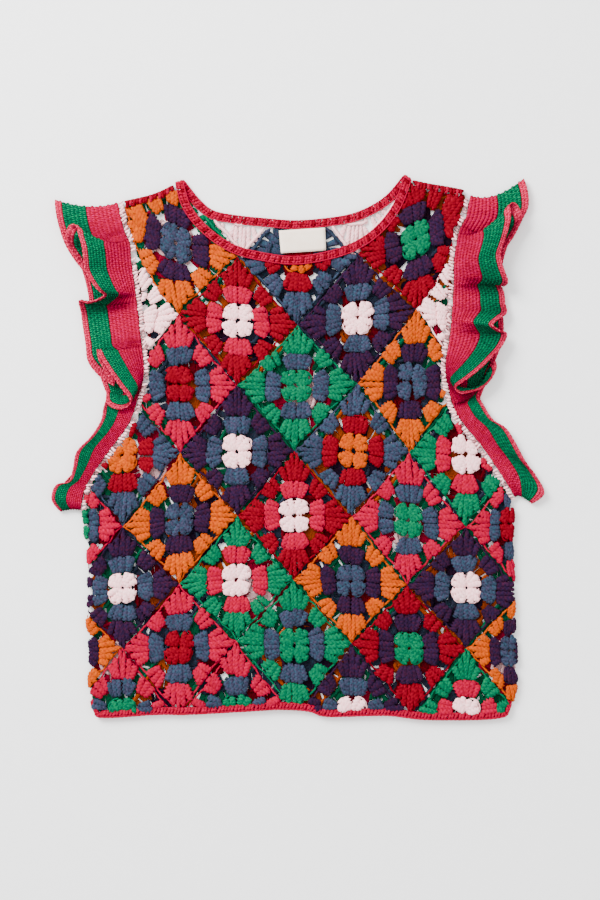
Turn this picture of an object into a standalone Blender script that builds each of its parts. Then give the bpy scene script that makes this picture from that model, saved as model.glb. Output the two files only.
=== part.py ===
# Crochet top laid flat on its back: granny squares set on point, a banded neck and hem,
# and a ruffle in three colours round each armhole. Sizes are millimetres in the tables
# and metres in Blender; +X is the viewer's right, +Y the neck, +Z up from the surface.

from collections import namedtuple
import math

import bmesh
import bpy
from mathutils import Vector

MM = 0.001

# ---------------------------------------------------------------- driving sizes (mm)

CLOTH = 3.0                  # wall of the patchwork and the bands
PART_GAP = 0.3               # left between neighbouring pieces
CHORD_ROOM = 0.9             # left between pieces whose curved sides have unlike facets
RUFFLE_CLOTH = 2.2           # wall of the ruffles, a closer and thinner stitch
BACK_MIDDLE = CLOTH / 2      # height of the middle of the back layer
FRONT_MIDDLE = BACK_MIDDLE + CLOTH + PART_GAP
FOLD_MIDDLE = (BACK_MIDDLE + FRONT_MIDDLE) / 2
SQUARE_RIM = 0.8             # bevel round each square's upper edge
FOLD_ROUND = 2.2             # bevel where the cloth turns under at the sides
EDGING_WIDTH = 4.0           # line of stitches round each armhole
EDGING_WALL = CLOTH - 0.2
NECKBAND_WIDTH = 9.4
NECKBAND_CLOTH = 3.6
NECKBAND_RAISE = 0.3
NECKBAND_STEPS = 24
NECKBAND_END = 0.02          # of a table row, left free at the shoulders
HEM_HEIGHT = 8.6
HEM_WALL = CLOTH - 0.1
HEM_TURNS = ((0.3, -3.0), (-0.3, -2.0))   # from the hem's last and first corner to its folds
SHOULDER_JOIN = 2.6
SHOULDER_JOIN_STEPS = 6
SHOULDER_JOIN_END = 0.1      # of a table row, left free at both ends
SHOULDER_JOIN_FLOOR = 0.2    # left free under it and over it
LABEL_CLOTH = 0.8
LEAST_EDGE = 0.4             # shortest straight run kept in a cut outline
WELD = 0.02

# Steps for slopes and bends, in table rows along a curve and in shares of a strip's width.
ROW_STEP = 0.05
SHARE_STEP = 0.02
BEND_REACH = 0.1
SEAM_STEP = 0.2
HALVINGS = 24                # of a seam, to find the place at a height

# One of the eight like gaps between the clusters of a square's last round. A square's own
# axes, a and b, run from side to side and from -1 to 1.
GAP_SHAPE = ((0.58, 0.23), (0.71, 0.18), (0.90, 0.26), (0.74, 0.35))
GAP_MARGIN = 2.0             # least cloth between a gap and the edge of a panel

COLOURS = {
    "crimson": (0.50, 0.005, 0.02),
    "pink": (0.80, 0.04, 0.12),
    "rose": (0.72, 0.10, 0.16),
    "cream": (0.88, 0.72, 0.70),
    "orange": (0.72, 0.20, 0.02),
    "navy": (0.045, 0.016, 0.11),
    "slate": (0.06, 0.12, 0.24),
    "green": (0.01, 0.33, 0.14),
    "label": (0.83, 0.70, 0.50),
}

# ---------------------------------------------------------------- patchwork tables (mm)

# Rows of the patchwork from the neck down. Corners that have no square on both sides of
# them take the row's height. The back's squares sit closer together and a little aside.
Row = namedtuple("Row", "name height back_middle back_pitch")
ROWS = (
    Row("above", 267, 0, 56),
    Row("a", 198, 0, 56),
    Row("b", 127, 1, 55),
    Row("c", 66, 3, 53),
    Row("d", -10, 7, 51),
    Row("e", -72, 11, 49),
    Row("f", -137, 11, 49),
    Row("g", -200, 11, 49),
    Row("h", -269, 11, 49),
    Row("below", -325, 11, 49),
)
COLUMN_X = (-231, -175, -119, -61, -1, 55, 114, 168, 225)

# Squares of the front: row, column, centre, and the colour of each round from the centre.
Square = namedtuple("Square", "row column x y inner middle outer")
FRONT_SQUARES = (
    Square("a", 2, -121, 203, "slate", "navy", "orange"),
    Square("a", 4, 1, 178, "orange", "crimson", "slate"),
    Square("a", 6, 120, 208, "green", "navy", "crimson"),
    Square("b", 3, -62, 125, "cream", "pink", "crimson"),
    Square("b", 5, 62, 127, "cream", "slate", "navy"),
    Square("c", 2, -122, 67, "crimson", "slate", "pink"),
    Square("c", 4, 1, 59, "green", "slate", "green"),
    Square("c", 6, 119, 72, "slate", "navy", "orange"),
    Square("d", 1, -172, -16, "orange", "crimson", "slate"),
    Square("d", 3, -62, -3, "cream", "slate", "navy"),
    Square("d", 5, 56, -2, "orange", "crimson", "slate"),
    Square("d", 7, 167, -18, "cream", "pink", "green"),
    Square("e", 0, -231, -90, "green", "slate", "pink"),
    Square("e", 2, -118, -68, "slate", "navy", "orange"),
    Square("e", 4, -2, -68, "cream", "pink", "crimson"),
    Square("e", 6, 111, -71, "green", "slate", "pink"),
    Square("e", 8, 225, -88, "crimson", "slate", "pink"),
    Square("f", 1, -174, -142, "cream", "slate", "navy"),
    Square("f", 3, -62, -133, "cream", "pink", "green"),
    Square("f", 5, 54, -133, "slate", "navy", "orange"),
    Square("f", 7, 165, -141, "cream", "slate", "navy"),
    Square("g", 0, -231, -204, "slate", "navy", "orange"),
    Square("g", 2, -119, -200, "crimson", "slate", "pink"),
    Square("g", 4, -3, -195, "green", "slate", "green"),
    Square("g", 6, 111, -203, "green", "navy", "crimson"),
    Square("g", 8, 225, -200, "slate", "navy", "orange"),
    Square("h", 1, -178, -254, "green", "slate", "pink"),
    Square("h", 3, -60, -244, "green", "slate", "pink"),
    Square("h", 5, 56, -250, "cream", "slate", "navy"),
    Square("h", 7, 171, -256, "cream", "pink", "green"),
)

# The outer corner of each top square, which reaches the end of the shoulder, and the corner
# of the lattice below it, where the square's armhole side bends: row, column and point.
SHOULDER_CORNERS = {("a", 2): (-172, 240), ("a", 6): (166, 251)}
ARMHOLE_CORNERS = {("a", 1): (-154, 179.5), ("a", 7): (149, 184)}

# Plain half squares that fill the front's armhole edge: side, row, column and centre.
Fill = namedtuple("Fill", "side row column x y")
FRONT_FILLS = (
    Fill("left", "b", 1, -175, 138),
    Fill("right", "b", 7, 175, 147),
)

# ---------------------------------------------------------------- edge tables (mm)

# Outline points, each (x, y). The sides are where the cloth turns under.
LEFT_SIDE = ((-212, -66), (-209, -97), (-207, -134), (-206, -146), (-209, -168),
             (-207, -212), (-206, -250))
RIGHT_SIDE = ((214, -66), (212, -97), (215, -136), (215, -174), (217, -212), (217, -238),
              (213, -256))
HEM_BOTTOM = ((-206, -266), (-194, -270), (-141, -267), (-110, -267), (-54, -264), (-16, -262),
              (12, -264), (30, -269), (88, -268), (126, -272), (183, -272), (206, -269),
              (214, -262))
LEFT_SHOULDER = ((-172.5, 243.5), (-156, 247), (-139, 252), (-126, 258))
RIGHT_SHOULDER = ((117, 263.5), (130, 261), (148, 258), (166, 254.5))

# Middle line of the neckband, left shoulder to right shoulder.
FRONT_NECK = ((-118, 264), (-110, 239), (-91, 216), (-66, 199), (-39, 191), (-3, 186.5),
              (33, 192), (62, 203), (84, 220), (100, 242), (110, 268))
BACK_NECK = ((-117, 265), (-101, 245), (-86, 233), (-64, 228), (-31, 224.5), (-3, 222.5),
             (26, 224.5), (54, 229), (76, 238), (93, 250), (109, 269))
LABEL_CORNERS = ((-18.5, 216.5), (27.5, 219.5), (28.5, 196.6), (-16.5, 193.8))

# Seam between patchwork and ruffle, from the shoulder to the underarm.
LEFT_ARMHOLE = ((-176.5, 244.5), (-170.5, 218.5), (-164.5, 204.5), (-163.0, 186.0), (-159.5, 159.5),
                (-156.5, 136.5), (-154.0, 113.0), (-150.5, 77.5), (-155.0, 54.5), (-163.5, 27.5),
                (-174.0, 10.5), (-195.5, -18.5), (-209.5, -42.5), (-213.5, -62.5))
RIGHT_ARMHOLE = ((169.5, 251.5), (165.5, 231.5), (159.5, 219.5), (156.5, 207.5), (153.5, 185.5),
                 (153.0, 160.0), (150.0, 117.5), (145.5, 87.5), (146.5, 67.5), (153.0, 40.0),
                 (162.5, 23.5), (182.5, -1.5), (203.5, -32.5), (214.5, -51.0))

# Ruffle stations, front half then back half, from the shoulder round the underarm and
# back up to the shoulder. Each row is one place where the cloth bends: the height at which
# it leaves the seam, the point of its free edge, and the edge's height off the surface.
Station = namedtuple("Station", "seam_y edge_x edge_y edge_z")
LEFT_RUFFLE = (
    Station(244.5, -241.5, 247.0, 3.6),        # fold over the shoulder
    Station(236.0, -240.5, 236.0, 6.4),
    Station(226.0, -237.5, 221.5, 6.0),
    Station(220.0, -231.5, 203.5, 5.4),
    Station(217.0, -221.5, 187.0, 5.0),
    Station(215.0, -211.0, 174.5, 7.0),        # first pleat turns back
    Station(213.0, -219.5, 187.5, 9.8),
    Station(211.0, -228.5, 202.5, 12.5),
    Station(209.0, -228.5, 214.5, 16.0),
    Station(208.2, -225.0, 220.5, 16.6),
    Station(206.2, -219.0, 219.5, 19.4),       # and over
    Station(203.0, -216.5, 211.5, 20.5),
    Station(197.0, -213.0, 200.0, 20.5),
    Station(188.5, -211.5, 188.0, 19.0),
    Station(179.5, -210.5, 177.0, 17.5),
    Station(170.0, -205.0, 166.0, 17.0),
    Station(160.0, -198.0, 157.0, 16.0),
    Station(155.0, -192.0, 151.5, 13.8),       # second pleat turns back
    Station(151.0, -200.0, 146.5, 11.6),
    Station(147.0, -210.0, 144.5, 10.4),
    Station(144.0, -217.5, 146.0, 7.8),        # and down
    Station(139.0, -215.5, 135.5, 5.2),
    Station(127.0, -213.5, 121.0, 5.2),
    Station(115.0, -210.5, 102.0, 5.6),
    Station(109.5, -208.5, 86.5, 5.2),
    Station(106.5, -198.5, 73.0, 5.0),
    Station(104.5, -182.5, 62.0, 7.8),         # third pleat turns back
    Station(102.5, -189.0, 73.0, 10.8),
    Station(100.5, -196.5, 86.5, 13.4),
    Station(98.0, -198.5, 97.0, 16.5),         # and over
    Station(93.5, -194.0, 88.0, 17.5),
    Station(84.5, -184.5, 73.5, 17.5),
    Station(73.5, -175.0, 60.0, 16.0),
    Station(63.5, -166.0, 48.0, 14.0),
    Station(58.5, -168.5, 41.5, 11.4),         # last curl
    Station(54.0, -178.5, 38.5, 10.4),
    Station(50.0, -189.0, 44.0, 9.0),
    Station(46.5, -190.0, 55.0, 7.0),
    Station(44.5, -189.5, 51.0, 4.6),
    Station(40.0, -193.0, 39.5, 4.6),
    Station(27.5, -195.5, 26.5, 6.0),
    Station(10.5, -205.5, 10.5, 7.0),
    Station(-7.0, -219.5, -4.5, 7.0),
    Station(-20.0, -223.5, -22.0, 6.0),
    Station(-36.0, -227.5, -34.0, 6.0),
    Station(-46.0, -240.5, -38.0, 6.0),
    Station(-55.0, -244.5, -52.0, 6.2),
    Station(-62.5, -236.0, -63.5, 3.6),        # fold under the arm
    Station(-56.0, -242.5, -52.0, 1.25),
    Station(-36.0, -233.0, -36.0, 1.25),
    Station(-20.0, -220.0, -21.0, 1.25),
    Station(10.5, -202.0, 8.0, 1.25),
    Station(41.5, -188.0, 40.0, 1.25),
    Station(73.5, -196.0, 70.0, 1.25),
    Station(115.0, -208.0, 110.0, 1.25),
    Station(155.0, -208.0, 150.0, 1.25),
    Station(190.0, -219.0, 190.0, 1.25),
    Station(226.0, -235.0, 222.0, 1.25),
    Station(237.0, -239.5, 238.0, 1.5),
)
RIGHT_RUFFLE = (
    Station(251.5, 228.0, 268.0, 3.6),         # fold over the shoulder
    Station(242.0, 228.5, 254.0, 6.4),
    Station(234.0, 229.5, 240.5, 6.0),
    Station(228.5, 223.5, 227.0, 5.4),
    Station(224.0, 214.5, 209.5, 5.0),
    Station(221.5, 203.0, 194.0, 7.0),         # first pleat turns back
    Station(219.5, 210.5, 204.5, 9.8),
    Station(217.5, 219.0, 219.5, 12.5),
    Station(215.5, 222.0, 231.0, 15.5),
    Station(214.2, 216.5, 241.5, 16.6),
    Station(212.4, 210.5, 240.5, 19.4),        # and over
    Station(209.5, 211.0, 230.5, 20.5),
    Station(203.5, 208.5, 217.5, 20.5),
    Station(196.5, 204.5, 204.5, 19.5),
    Station(188.5, 201.0, 192.5, 18.0),
    Station(179.5, 203.5, 179.5, 17.0),
    Station(170.5, 208.5, 165.5, 15.0),
    Station(166.5, 205.5, 161.0, 11.5),        # second pleat turns back
    Station(163.0, 200.0, 166.0, 8.8),
    Station(160.0, 201.5, 163.0, 6.6),         # and down
    Station(154.0, 205.5, 154.0, 6.0),
    Station(146.0, 206.5, 144.0, 6.4),
    Station(139.0, 208.0, 134.5, 8.0),
    Station(133.5, 201.0, 129.0, 12.0),        # edge curls over
    Station(127.5, 193.5, 122.0, 14.5),
    Station(121.0, 200.5, 116.5, 13.0),
    Station(114.5, 208.0, 113.0, 11.0),
    Station(105.5, 203.5, 102.0, 12.5),
    Station(96.5, 194.5, 92.0, 15.0),
    Station(87.5, 182.5, 80.0, 18.5),
    Station(78.5, 169.0, 69.0, 18.5),
    Station(70.5, 157.0, 60.0, 16.0),
    Station(64.0, 162.0, 54.0, 13.6),          # third pleat turns back
    Station(58.0, 172.0, 55.5, 12.8),
    Station(53.0, 182.0, 59.0, 12.2),
    Station(49.0, 191.0, 66.5, 11.6),
    Station(46.0, 197.5, 79.0, 11.0),
    Station(43.5, 195.5, 88.0, 8.4),           # and down
    Station(42.0, 192.5, 82.0, 5.4),
    Station(40.2, 186.5, 67.0, 4.0),
    Station(37.0, 180.0, 53.5, 4.2),
    Station(31.2, 185.0, 42.5, 5.2),
    Station(23.5, 194.5, 27.5, 6.4),
    Station(10.5, 209.5, 16.5, 6.8),
    Station(-1.5, 226.5, -13.5, 6.2),
    Station(-16.5, 237.5, -28.5, 5.4),
    Station(-32.5, 245.5, -45.5, 6.0),
    Station(-51.0, 233.5, -55.5, 3.6),         # fold under the arm
    Station(-34.5, 243.0, -44.5, 1.25),
    Station(-16.5, 235.0, -28.0, 1.25),
    Station(10.5, 207.0, 14.0, 1.25),
    Station(34.0, 182.0, 40.0, 1.25),
    Station(69.5, 190.0, 70.0, 1.25),
    Station(114.5, 205.0, 112.0, 1.25),
    Station(163.0, 202.0, 160.0, 1.25),
    Station(196.5, 208.0, 198.0, 1.25),
    Station(234.0, 227.0, 240.0, 1.25),
    Station(243.5, 227.5, 256.0, 1.5),
)
LEFT_UNDERARM = 47           # station where each ruffle turns to the back
RIGHT_UNDERARM = 47

# The ruffle's colours: name, colour, and where each begins and ends across its width.
Stripe = namedtuple("Stripe", "name colour start end steps")
RUFFLE_STRIPES = (
    Stripe("base", "pink", 0.0, 0.53, 2),
    Stripe("stripe", "green", 0.53, 0.88, 1),
    Stripe("edge", "rose", 0.88, 1.0, 1),
)
STRIPE_GAP = 0.6             # left free either side of each colour change
WIDEST_GAP_SHARE = 0.06
BEND_STEP = math.radians(55)  # most a ruffle turns between two places
BEND_ROUNDS = 2
SHARP_BEND = 0.25            # change of a ruffle's unit normal that may thin its wall
THINNEST = 1.0
WALL_PER_RADIUS = 1.6        # most wall at a sharp bend, for each unit of its radius
LEAN_START = 0.2             # share of the width that keeps square to the seam
EDGING_STEP = 4.5            # least length of the edging's facets


# ---------------------------------------------------------------- curves and outlines

def smooth(rows, place, closed=False):
    """Value of a smooth curve through the rows at a place counted in rows."""
    count = len(rows)
    first = math.floor(place)
    part = place - first
    if closed:
        picked = [rows[(first + k) % count] for k in (-1, 0, 1, 2)]
    else:
        picked = [rows[min(max(first + k, 0), count - 1)] for k in (-1, 0, 1, 2)]
    values = []
    for before, here, after, beyond in zip(*picked):
        bend = (2 * here, after - before,
                2 * before - 5 * here + 4 * after - beyond,
                -before + 3 * here - 3 * after + beyond)
        values.append(0.5 * (bend[0] + bend[1] * part + bend[2] * part ** 2 + bend[3] * part ** 3))
    return values


def sampled(rows, steps):
    """Points along an open smooth curve, with the same number of steps in each span."""
    total = (len(rows) - 1) * steps
    return [tuple(smooth(rows, k / steps)) for k in range(total + 1)]


def offset_line(points, distance):
    """The line moved sideways; a positive distance moves it to the left of its direction."""
    moved = []
    for index, (x, y) in enumerate(points):
        before = points[max(index - 1, 0)]
        after = points[min(index + 1, len(points) - 1)]
        dx, dy = after[0] - before[0], after[1] - before[1]
        length = math.hypot(dx, dy)
        moved.append((x - dy / length * distance, y + dx / length * distance))
    return moved


def spaced(points, pitch):
    """The points of a line thinned or filled so that they lie about a pitch apart."""
    lengths = [0.0]
    for start, end in zip(points, points[1:]):
        lengths.append(lengths[-1] + math.dist(start, end))
    count = max(1, round(lengths[-1] / pitch))
    line, span = [], 0
    for step in range(count + 1):
        wanted = lengths[-1] * step / count
        while span < len(points) - 2 and lengths[span + 1] < wanted:
            span += 1
        part = (wanted - lengths[span]) / (lengths[span + 1] - lengths[span])
        line.append(tuple(a + (b - a) * part for a, b in zip(points[span], points[span + 1])))
    return line


def armhole_line(seam, inward):
    """Edge of the patchwork along an armhole, from the shoulder to the underarm."""
    return offset_line(spaced(sampled(seam, 6), 10), inward)


def panel_outline(neck):
    """The patchwork's outline, clockwise from the left shoulder's outer end."""
    clearance = EDGING_WIDTH / 2 + CHORD_ROOM
    neck_edge = offset_line(spaced(sampled(neck, 6), 14), -NECKBAND_WIDTH / 2 - CHORD_ROOM)
    neck_edge = [point for point in neck_edge
                 if LEFT_SHOULDER[-1][0] + 3 < point[0] < RIGHT_SHOULDER[0][0] - 3]
    right_armhole = armhole_line(RIGHT_ARMHOLE, -clearance)[1:-1]
    left_armhole = armhole_line(LEFT_ARMHOLE, clearance)[-2:0:-1]
    hem = offset_line(HEM_BOTTOM, HEM_HEIGHT + PART_GAP)[1:-1]
    outline = [*LEFT_SHOULDER, *neck_edge, *RIGHT_SHOULDER, *right_armhole]
    outline += [*RIGHT_SIDE, *reversed(hem), *reversed(LEFT_SIDE), *left_armhole]
    return outline


def clipped(polygon, corners):
    """The part of a polygon inside a convex, clockwise run of corners."""
    kept = list(polygon)
    for start, end in zip(corners, corners[1:] + corners[:1]):
        def outside(point):
            return ((end[0] - start[0]) * (point[1] - start[1])
                    - (end[1] - start[1]) * (point[0] - start[0]))
        source, kept = kept, []
        for here, after in zip(source, source[1:] + source[:1]):
            a, b = outside(here), outside(after)
            if a <= 0:
                kept.append(here)
            if a * b < 0:
                part = a / (a - b)
                kept.append(tuple(p + (q - p) * part for p, q in zip(here, after)))
    return [point for index, point in enumerate(kept)
            if math.dist(point, kept[index - 1]) > LEAST_EDGE]


def distance_to_line(point, start, end):
    """Distance from a point to a straight piece of line."""
    along = (end[0] - start[0], end[1] - start[1])
    reach = along[0] ** 2 + along[1] ** 2
    part = ((point[0] - start[0]) * along[0] + (point[1] - start[1]) * along[1]) / reach
    part = min(max(part, 0), 1)
    return math.dist(point, (start[0] + along[0] * part, start[1] + along[1] * part))


def inside(point, polygon):
    """Whether a point lies inside a polygon."""
    crossings = 0
    for (ax, ay), (bx, by) in zip(polygon, polygon[1:] + polygon[:1]):
        if (ay > point[1]) != (by > point[1]):
            crossings += point[0] < ax + (point[1] - ay) / (by - ay) * (bx - ax)
    return crossings % 2 == 1


def has_room(gap, outline):
    """Whether a gap lies well inside an outline."""
    edges = list(zip(outline, outline[1:] + outline[:1]))
    return all(inside(point, outline)
               and min(distance_to_line(point, *edge) for edge in edges) > GAP_MARGIN
               for point in gap)


# ---------------------------------------------------------------- the patchwork's lattice

def row_number(name):
    return [row.name for row in ROWS].index(name)


def front_lattice():
    """Centres of the front's squares and the corners between them, by row and column."""
    centres = {}
    for piece in FRONT_SQUARES + FRONT_FILLS:
        centres[row_number(piece.row), piece.column] = (piece.x, piece.y)
    lattice = {}
    for row in range(len(ROWS)):
        for column in range(-1, 10):
            if (row, column) in centres:
                lattice[row, column] = centres[row, column]
                continue
            sides = [centres.get((row, column + k)) for k in (-1, 1)]
            ends = [centres.get((row + k, column)) for k in (-1, 1)]
            edge = COLUMN_X[min(max(column, 0), 8)]
            x = sum(side[0] for side in sides) / 2 if all(sides) else edge
            heights = [(p[1] + q[1]) / 2 for p, q in (sides, ends) if p and q]
            if ROWS[row].name in ("above", "h", "below") or not heights:
                heights = [ROWS[row].height]
            lattice[row, column] = (x, sum(heights) / len(heights))
    for (name, column), corner in ARMHOLE_CORNERS.items():
        lattice[row_number(name), column] = corner
    return lattice


def back_lattice():
    """Points of the back's lattice, by row and column."""
    return {(number, column): (row.back_middle + (column - 4) * row.back_pitch, row.height)
            for number, row in enumerate(ROWS) for column in range(-1, 10)}


def square_corners(lattice, row, column):
    """North, east, south and west corners of a square, clockwise, drawn in by half a gap."""
    corners = [lattice[row - 1, column], lattice[row, column + 1],
               lattice[row + 1, column], lattice[row, column - 1]]
    middle = tuple(sum(values) / 4 for values in zip(*corners))
    half_side = math.dist(corners[0], corners[1]) / 2
    shrink = 1 - PART_GAP * 0.6 / half_side
    return [tuple(m + (c - m) * shrink for m, c in zip(middle, corner)) for corner in corners]


def in_square(corners, a, b):
    """The point of a square at its own coordinates."""
    north, east, south, west = corners
    return tuple(((1 + a) * (1 + b) * n + (1 + a) * (1 - b) * e
                  + (1 - a) * (1 - b) * s + (1 - a) * (1 + b) * w) / 4
                 for n, e, s, w in zip(north, east, south, west))


def square_gaps(corners, both_hands):
    """Gaps between the clusters of a square's last round."""
    gaps = []
    for quarter in range(4):
        for hand in (1, -1) if both_hands else (1,):
            gap = []
            for a, b in GAP_SHAPE:
                b *= hand
                for _ in range(quarter):
                    a, b = -b, a
                gap.append(in_square(corners, a, b))
            gaps.append(gap)
    return gaps


# ---------------------------------------------------------------- solids

def add_material(name, colour, roughness=0.85):
    material = bpy.data.materials.new(name)
    material.use_nodes = True
    shader = material.node_tree.nodes["Principled BSDF"]
    shader.inputs["Base Color"].default_value = (*colour, 1)
    shader.inputs["Roughness"].default_value = roughness
    shader.inputs["Metallic"].default_value = 0
    return material


def finish_object(name, mesh, colour):
    """Adds an object for a mesh to the part's collection, in its yarn's colour."""
    mesh.materials.clear()
    mesh.materials.append(bpy.data.materials[colour])
    piece = bpy.data.objects.new(name, mesh)
    garment.objects.link(piece)
    piece.parent = garment_root
    return piece


def flat_piece(name, colour, outline, gaps, middle, wall, rim=0.0, fold_sides=0):
    """A flat piece cut from an outline with gaps through it.

    fold_sides is 1 to round the upper edge where the cloth turns under at the sides,
    -1 to round the lower edge there, and 0 for neither.
    """
    curve = bpy.data.curves.new(name, "CURVE")
    curve.dimensions = "2D"
    curve.fill_mode = "BOTH"
    curve.extrude = wall / 2 * MM
    for loop in [outline, *gaps]:
        spline = curve.splines.new("POLY")
        spline.points.add(len(loop) - 1)
        for point, (x, y) in zip(spline.points, loop):
            point.co = (x * MM, y * MM, 0, 1)
        spline.use_cyclic_u = True
    flat = bpy.data.objects.new(name + "_outline", curve)
    garment.objects.link(flat)
    evaluated = flat.evaluated_get(bpy.context.evaluated_depsgraph_get())
    mesh = bpy.data.meshes.new_from_object(evaluated)
    mesh.name = name
    bpy.data.objects.remove(flat)
    shape = bmesh.new()
    shape.from_mesh(mesh)
    bmesh.ops.remove_doubles(shape, verts=shape.verts, dist=WELD * MM)
    if rim:
        bevel_rim(shape, outline, rim)
    if fold_sides:
        bevel_folds(shape, outline, fold_sides)
    bmesh.ops.translate(shape, verts=shape.verts, vec=(0, 0, middle * MM))
    bmesh.ops.recalc_face_normals(shape, faces=shape.faces)
    shape.to_mesh(mesh)
    shape.free()
    return finish_object(name, mesh, colour)


def on_fold(x, y):
    """Whether a point lies on a side where the cloth turns under."""
    if y > LEFT_SIDE[0][1] + 0.5:
        return False
    return any(distance_to_line((x, y), start, end) < 0.3
               for side in (LEFT_SIDE, RIGHT_SIDE) for start, end in zip(side, side[1:]))


def outer_edges(shape, outline, level):
    """Edges of an outline at the upper (1) or lower (-1) face of a flat shape."""
    marks = {(round(x, 2), round(y, 2)) for x, y in outline}

    def marked(vert):
        place = (round(vert.co.x / MM, 2), round(vert.co.y / MM, 2))
        return vert.co.z * level > 0 and place in marks

    return [edge for edge in shape.edges if marked(edge.verts[0]) and marked(edge.verts[1])
            and any(abs(face.normal.z) < 0.5 for face in edge.link_faces)]


def bevel_rim(shape, outline, width):
    edges = [edge for edge in outer_edges(shape, outline, 1)
             if not all(on_fold(vert.co.x / MM, vert.co.y / MM) for vert in edge.verts)]
    bmesh.ops.bevel(shape, geom=edges, offset=width * MM, segments=1, profile=0.5,
                    affect="EDGES", clamp_overlap=True)


def bevel_folds(shape, outline, level):
    edges = [edge for edge in outer_edges(shape, outline, level)
             if all(on_fold(vert.co.x / MM, vert.co.y / MM) for vert in edge.verts)]
    if edges:
        bmesh.ops.bevel(shape, geom=edges, offset=FOLD_ROUND * MM, segments=2, profile=0.5,
                        affect="EDGES", clamp_overlap=True)


def surface_normal(surface, place, share):
    along = Vector(surface(place + ROW_STEP, share)) - Vector(surface(place - ROW_STEP, share))
    over = Vector(surface(place, share + SHARE_STEP)) - Vector(surface(place, share - SHARE_STEP))
    return over.cross(along).normalized()


def wall_at(surface, place, share, wall):
    """The wall, thinner where the surface bends too sharply to carry it whole."""
    before, after = place - BEND_REACH, place + BEND_REACH
    bend = surface_normal(surface, after, share) - surface_normal(surface, before, share)
    if bend.length < SHARP_BEND:
        return wall
    step = Vector(surface(after, share)) - Vector(surface(before, share))
    radius = abs(step.dot(bend)) / bend.length_squared
    return min(wall, max(WALL_PER_RADIUS * radius, THINNEST))


def shell_strip(name, colour, surface, places, across, wall, closed):
    """A strip of cloth with a wall either side of a surface.

    surface(place, share) gives a point for a place along the strip and a share of its
    width. The strip is closed into a ring, or capped at both ends.
    """
    shape = bmesh.new()
    rings = []
    for place in places:
        upper, lower = [], []
        for share in across:
            point = Vector(surface(place, share))
            normal = surface_normal(surface, place, share)
            offset = normal * wall_at(surface, place, share, wall) / 2
            upper.append(point + offset)
            lower.append(point - offset)
        ring = [shape.verts.new(point * MM) for point in upper + lower[::-1]]
        rings.append(ring)
    pairs = list(zip(rings, rings[1:]))
    if closed:
        pairs.append((rings[-1], rings[0]))
    for here, after in pairs:
        for k in range(len(here)):
            following = (k + 1) % len(here)
            shape.faces.new((here[k], here[following], after[following], after[k]))
    if not closed:
        shape.faces.new(rings[0])
        shape.faces.new(rings[-1][::-1])
    bmesh.ops.recalc_face_normals(shape, faces=shape.faces)
    mesh = bpy.data.meshes.new(name)
    shape.to_mesh(mesh)
    shape.free()
    mesh.shade_smooth()
    mesh.set_sharp_from_angle(angle=math.radians(40))
    return finish_object(name, mesh, colour)


def even_shares(steps):
    return [k / steps for k in range(steps + 1)]


# ---------------------------------------------------------------- the garment's pieces

def shoulder_corners(square, corners):
    """A top square's corners, and its border with the bend in its armhole side."""
    outer = SHOULDER_CORNERS[square.row, square.column]
    north, east, south, west = corners
    if outer[0] < 0:
        return [north, east, south, outer], [north, east, south, west, outer]
    return [north, outer, south, west], [north, outer, east, south, west]


def make_front():
    outline = panel_outline(FRONT_NECK)
    lattice = front_lattice()
    for square in FRONT_SQUARES:
        corners = square_corners(lattice, row_number(square.row), square.column)
        border = corners
        if (square.row, square.column) in SHOULDER_CORNERS:
            corners, border = shoulder_corners(square, corners)
        patch = clipped(outline, border)
        gaps = [gap for gap in square_gaps(corners, True) if has_room(gap, patch)]
        name = f"front_square_{square.row}{square.column}"
        flat_piece(name, square.outer, patch, gaps, FRONT_MIDDLE, CLOTH, SQUARE_RIM, 1)
    for fill in FRONT_FILLS:
        corners = square_corners(lattice, row_number(fill.row), fill.column)
        patch = clipped(outline, corners)
        flat_piece(f"armhole_fill_{fill.side}", "cream", patch, [], FRONT_MIDDLE, CLOTH, SQUARE_RIM)


def make_back():
    outline = panel_outline(BACK_NECK)
    lattice = back_lattice()
    gaps = []
    for row in range(1, len(ROWS) - 1):
        for column in range(0, 9):
            if (row + column) % 2:
                corners = square_corners(lattice, row, column)
                gaps += [gap for gap in square_gaps(corners, False) if has_room(gap, outline)]
    flat_piece("back_patchwork", "navy", outline, gaps, BACK_MIDDLE, CLOTH, 0, -1)


def make_neckbands():
    for name, line, middle, wall in (
            ("neckband_front", FRONT_NECK, FRONT_MIDDLE + NECKBAND_RAISE, NECKBAND_CLOTH),
            ("neckband_back", BACK_NECK, BACK_MIDDLE, CLOTH)):
        def surface(place, share):
            x, y = smooth(line, place)
            after, before = smooth(line, place + ROW_STEP), smooth(line, place - ROW_STEP)
            dx, dy = after[0] - before[0], after[1] - before[1]
            reach = (share - 0.5) * NECKBAND_WIDTH / math.hypot(dx, dy)
            return x - dy * reach, y + dx * reach, middle

        run = len(line) - 1 - 2 * NECKBAND_END
        places = [NECKBAND_END + run * share for share in even_shares(NECKBAND_STEPS)]
        shell_strip(name, "crimson", surface, places, (0, 0.5, 1), wall, False)


def make_hem_band():
    bottom = HEM_BOTTOM
    front = [(x, y, FRONT_MIDDLE) for x, y in bottom[1:-1]]
    back = [(x, y, BACK_MIDDLE) for x, y in bottom[-2:0:-1]]
    right, left = [(x + turn_x, y + turn_y, FOLD_MIDDLE)
                   for (x, y), (turn_x, turn_y) in zip((bottom[-1], bottom[0]), HEM_TURNS)]
    ring = [*front, right, *back, left]

    def surface(place, share):
        x, y, z = smooth(ring, place, True)
        return x, y + share * HEM_HEIGHT, z

    shell_strip("hem_band", "pink", surface, range(len(ring)), (0, 0.5, 1), HEM_WALL, True)


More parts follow.
